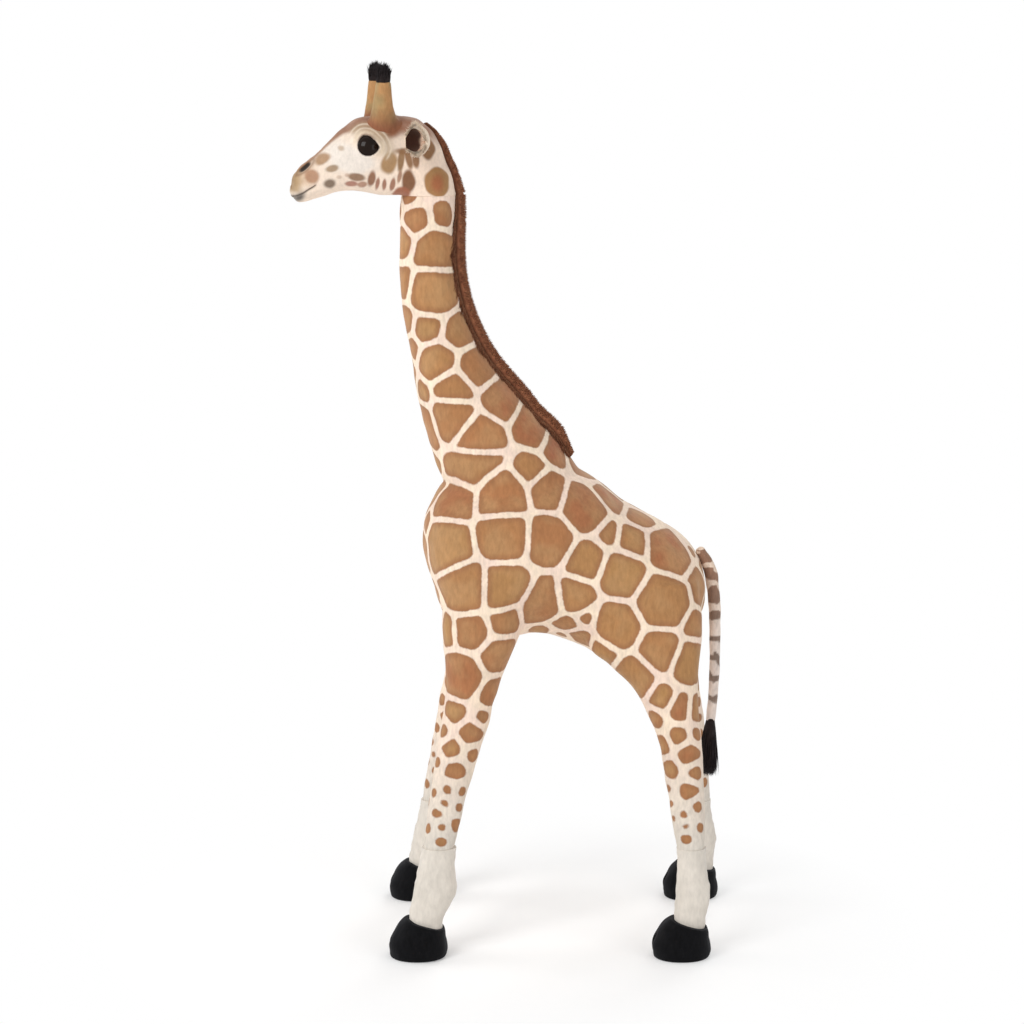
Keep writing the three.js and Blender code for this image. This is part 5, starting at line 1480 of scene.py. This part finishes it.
tail_painted = node(tree, "ShaderNodeAttribute", {"attribute_name": "tail_paint"}).outputs["Color"]
pile(tree, bsdf, tail_painted, clump_mm=2.2, depth_mm=0.6, contrast=0.2)
tail.data.materials.append(tail_plush)
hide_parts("tail")
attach(tail, "tail")

random = np.random.default_rng(105)
count = TAIL_TUFT["strands"]
end = centre[-1]
angle = random.uniform(0, 2 * np.pi, count)
far = np.sqrt(random.uniform(0, 1, count))
low = random.uniform(0, 1, count)
east, north = np.cos(angle), np.sin(angle)
root_at = [east * far * TAIL_TUFT["wide"], north * far * TAIL_TUFT["deep"], 4 - low * TAIL_TUFT["root_high"]]
root = end + np.column_stack(root_at) * MM
spread = far * (1 - 0.4 * low)
way = np.column_stack([east * spread * 0.34, north * spread * 0.24 - 0.06, np.full(count, -1.0)])
uneven = 0.72 + 0.28 * random.uniform(size=count) ** 0.6
lengths = (TAIL["tuft"] + 3 - low * TAIL_TUFT["root_high"]) * uneven * MM
pull = np.column_stack([-east * spread * 16, -north * spread * 10, np.zeros(count)]) * MM
hair = strands(root, way, lengths, np.full(count, TAIL_TUFT["hair"] * MM), droop=pull, curl=0.035,
               rings_each=6, seed=107)
s = np.linspace(0, 1, 20)
core_wide = np.interp(s, [0, 0.15, 0.45, 0.75, 1], [8, 12.5, 14, 10, 2.5])
zero = np.zeros(20)
core_centre = end + np.column_stack([zero, -s * 4, 2 - s * TAIL_TUFT["core"]]) * MM
core_axes = level_axes(core_wide * MM, core_wide * TAIL_TUFT["core_flat"] * MM)
core = closed(domed(rings(core_centre, *core_axes, 36), first=2 * MM, last=2 * MM))
tail_tuft = join("tail_tuft_pile", core, hair)
tail_tuft.data.materials.append(black_pile)
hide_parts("tail_tuft")
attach(tail_tuft, "tail")
print("tail end", (end / MM).round(1).tolist())

# %% [markdown]
# Inside, where only a cut would show them, stay the frame's own solids: bent steel wire, stiff
# boards in the feet and white washers behind the eyes. They keep their shape and get their finish.

# %% Inner pieces
wire_steel, tree, bsdf = material("drawn_steel_wire", Metallic=1.0, Roughness=0.32)
tree.links.new(blotched(tree, 3, "#8E9094", "#B4B6BA", detail=4.0), bsdf.inputs["Base Color"])
board_plastic, tree, bsdf = material("polypropylene_board", Roughness=0.5)
tree.links.new(blotched(tree, 2, "#D4D4CF", "#DEDEDA"), bsdf.inputs["Base Color"])
INNER_FINISH = {"rod": wire_steel, "spine": wire_steel, "board": board_plastic, "washer": board_plastic}
for name, cad in frame["nodes"].items():
    for word, finish in INNER_FINISH.items():
        if word in name:
            cad.data.materials.clear()
            cad.data.materials.append(finish)
print("inner pieces finished")

# %% [markdown]
# The set is a plain studio: a pale floor, white all round, and large soft lamps, so that a colour
# renders about as it is written.

# %% Set and light
FLOOR = dict(radius=9.0, underside=-0.02, top=-0.0006)


def seen_straight(tree):
    """1 for rays from the camera or off gloss or through glass, which show the white background,
    and 0 for the rays that light the object."""
    rays = node(tree, "ShaderNodeLightPath").outputs
    sight = node(tree, "ShaderNodeMath", {"operation": "MAXIMUM"}, i0=rays["Is Camera Ray"],
                 i1=rays["Is Glossy Ray"])
    return node(tree, "ShaderNodeMath", {"operation": "MAXIMUM"}, i0=sight.outputs[0],
                i1=rays["Is Transmission Ray"]).outputs[0]


scene = bpy.context.scene
scene.view_settings.view_transform = "Standard"
world = bpy.data.worlds.new("studio")
scene.world = world
world.use_nodes = True
tree = world.node_tree
tree.nodes.clear()
soft = node(tree, "ShaderNodeBackground", Color=(1, 1, 1, 1), Strength=0.46)
white = node(tree, "ShaderNodeBackground", Color=(1, 1, 1, 1), Strength=1.0)
both = node(tree, "ShaderNodeMixShader", i0=seen_straight(tree), i1=soft.outputs[0], i2=white.outputs[0])
node(tree, "ShaderNodeOutputWorld", Surface=both.outputs[0])

floor_centre = np.array([[0, 0, FLOOR["underside"]], [0, 0, FLOOR["top"]]])
floor_half = np.full(2, FLOOR["radius"])
floor = mesh_object("floor", *closed(rings(floor_centre, *level_axes(floor_half, floor_half), 96)))
floor_paint, tree, bsdf = material("pale_studio_floor", Roughness=0.9, Base_Color=rgba("#FFFFFF"))
where = node(tree, "ShaderNodeTexCoord").outputs["Object"]
far = node(tree, "ShaderNodeVectorMath", {"operation": "LENGTH"}, i0=where).outputs["Value"]
glow = node(tree, "ShaderNodeEmission", Color=(1, 1, 1, 1), Strength=1.0)
away = node(tree, "ShaderNodeMapRange", Value=far, From_Min=0.22, From_Max=0.65, To_Min=0.2).outputs[0]
share = node(tree, "ShaderNodeMath", {"operation": "MULTIPLY"}, i0=away, i1=seen_straight(tree)).outputs[0]
mix = node(tree, "ShaderNodeMixShader", i0=share, i1=bsdf.outputs[0], i2=glow.outputs[0])
tree.links.new(mix.outputs[0], tree.nodes["Material Output"].inputs[0])
floor.data.materials.append(floor_paint)


def lamp(name, place, aim, size, power):
    """A soft square lamp that looks at a point."""
    data = bpy.data.lights.new(name, "AREA")
    data.size = size
    data.energy = power
    made = bpy.data.objects.new(name, data)
    bpy.context.collection.objects.link(made)
    made.location = place
    made.rotation_euler = (Vector(aim) - Vector(place)).to_track_quat("-Z", "Y").to_euler()


lamp("key", (3.2, -2.4, 3.4), (0, 0, 0.7), 2.2, 108)
lamp("fill", (3.0, 2.8, 1.6), (0, 0, 0.7), 2.6, 37)
lamp("front", (-0.6, -3.8, 2.0), (0, 0, 0.8), 2.2, 42)
lamp("rim", (-3.2, 1.2, 3.0), (0, 0, 0.8), 2.0, 50)
print("lamps set")
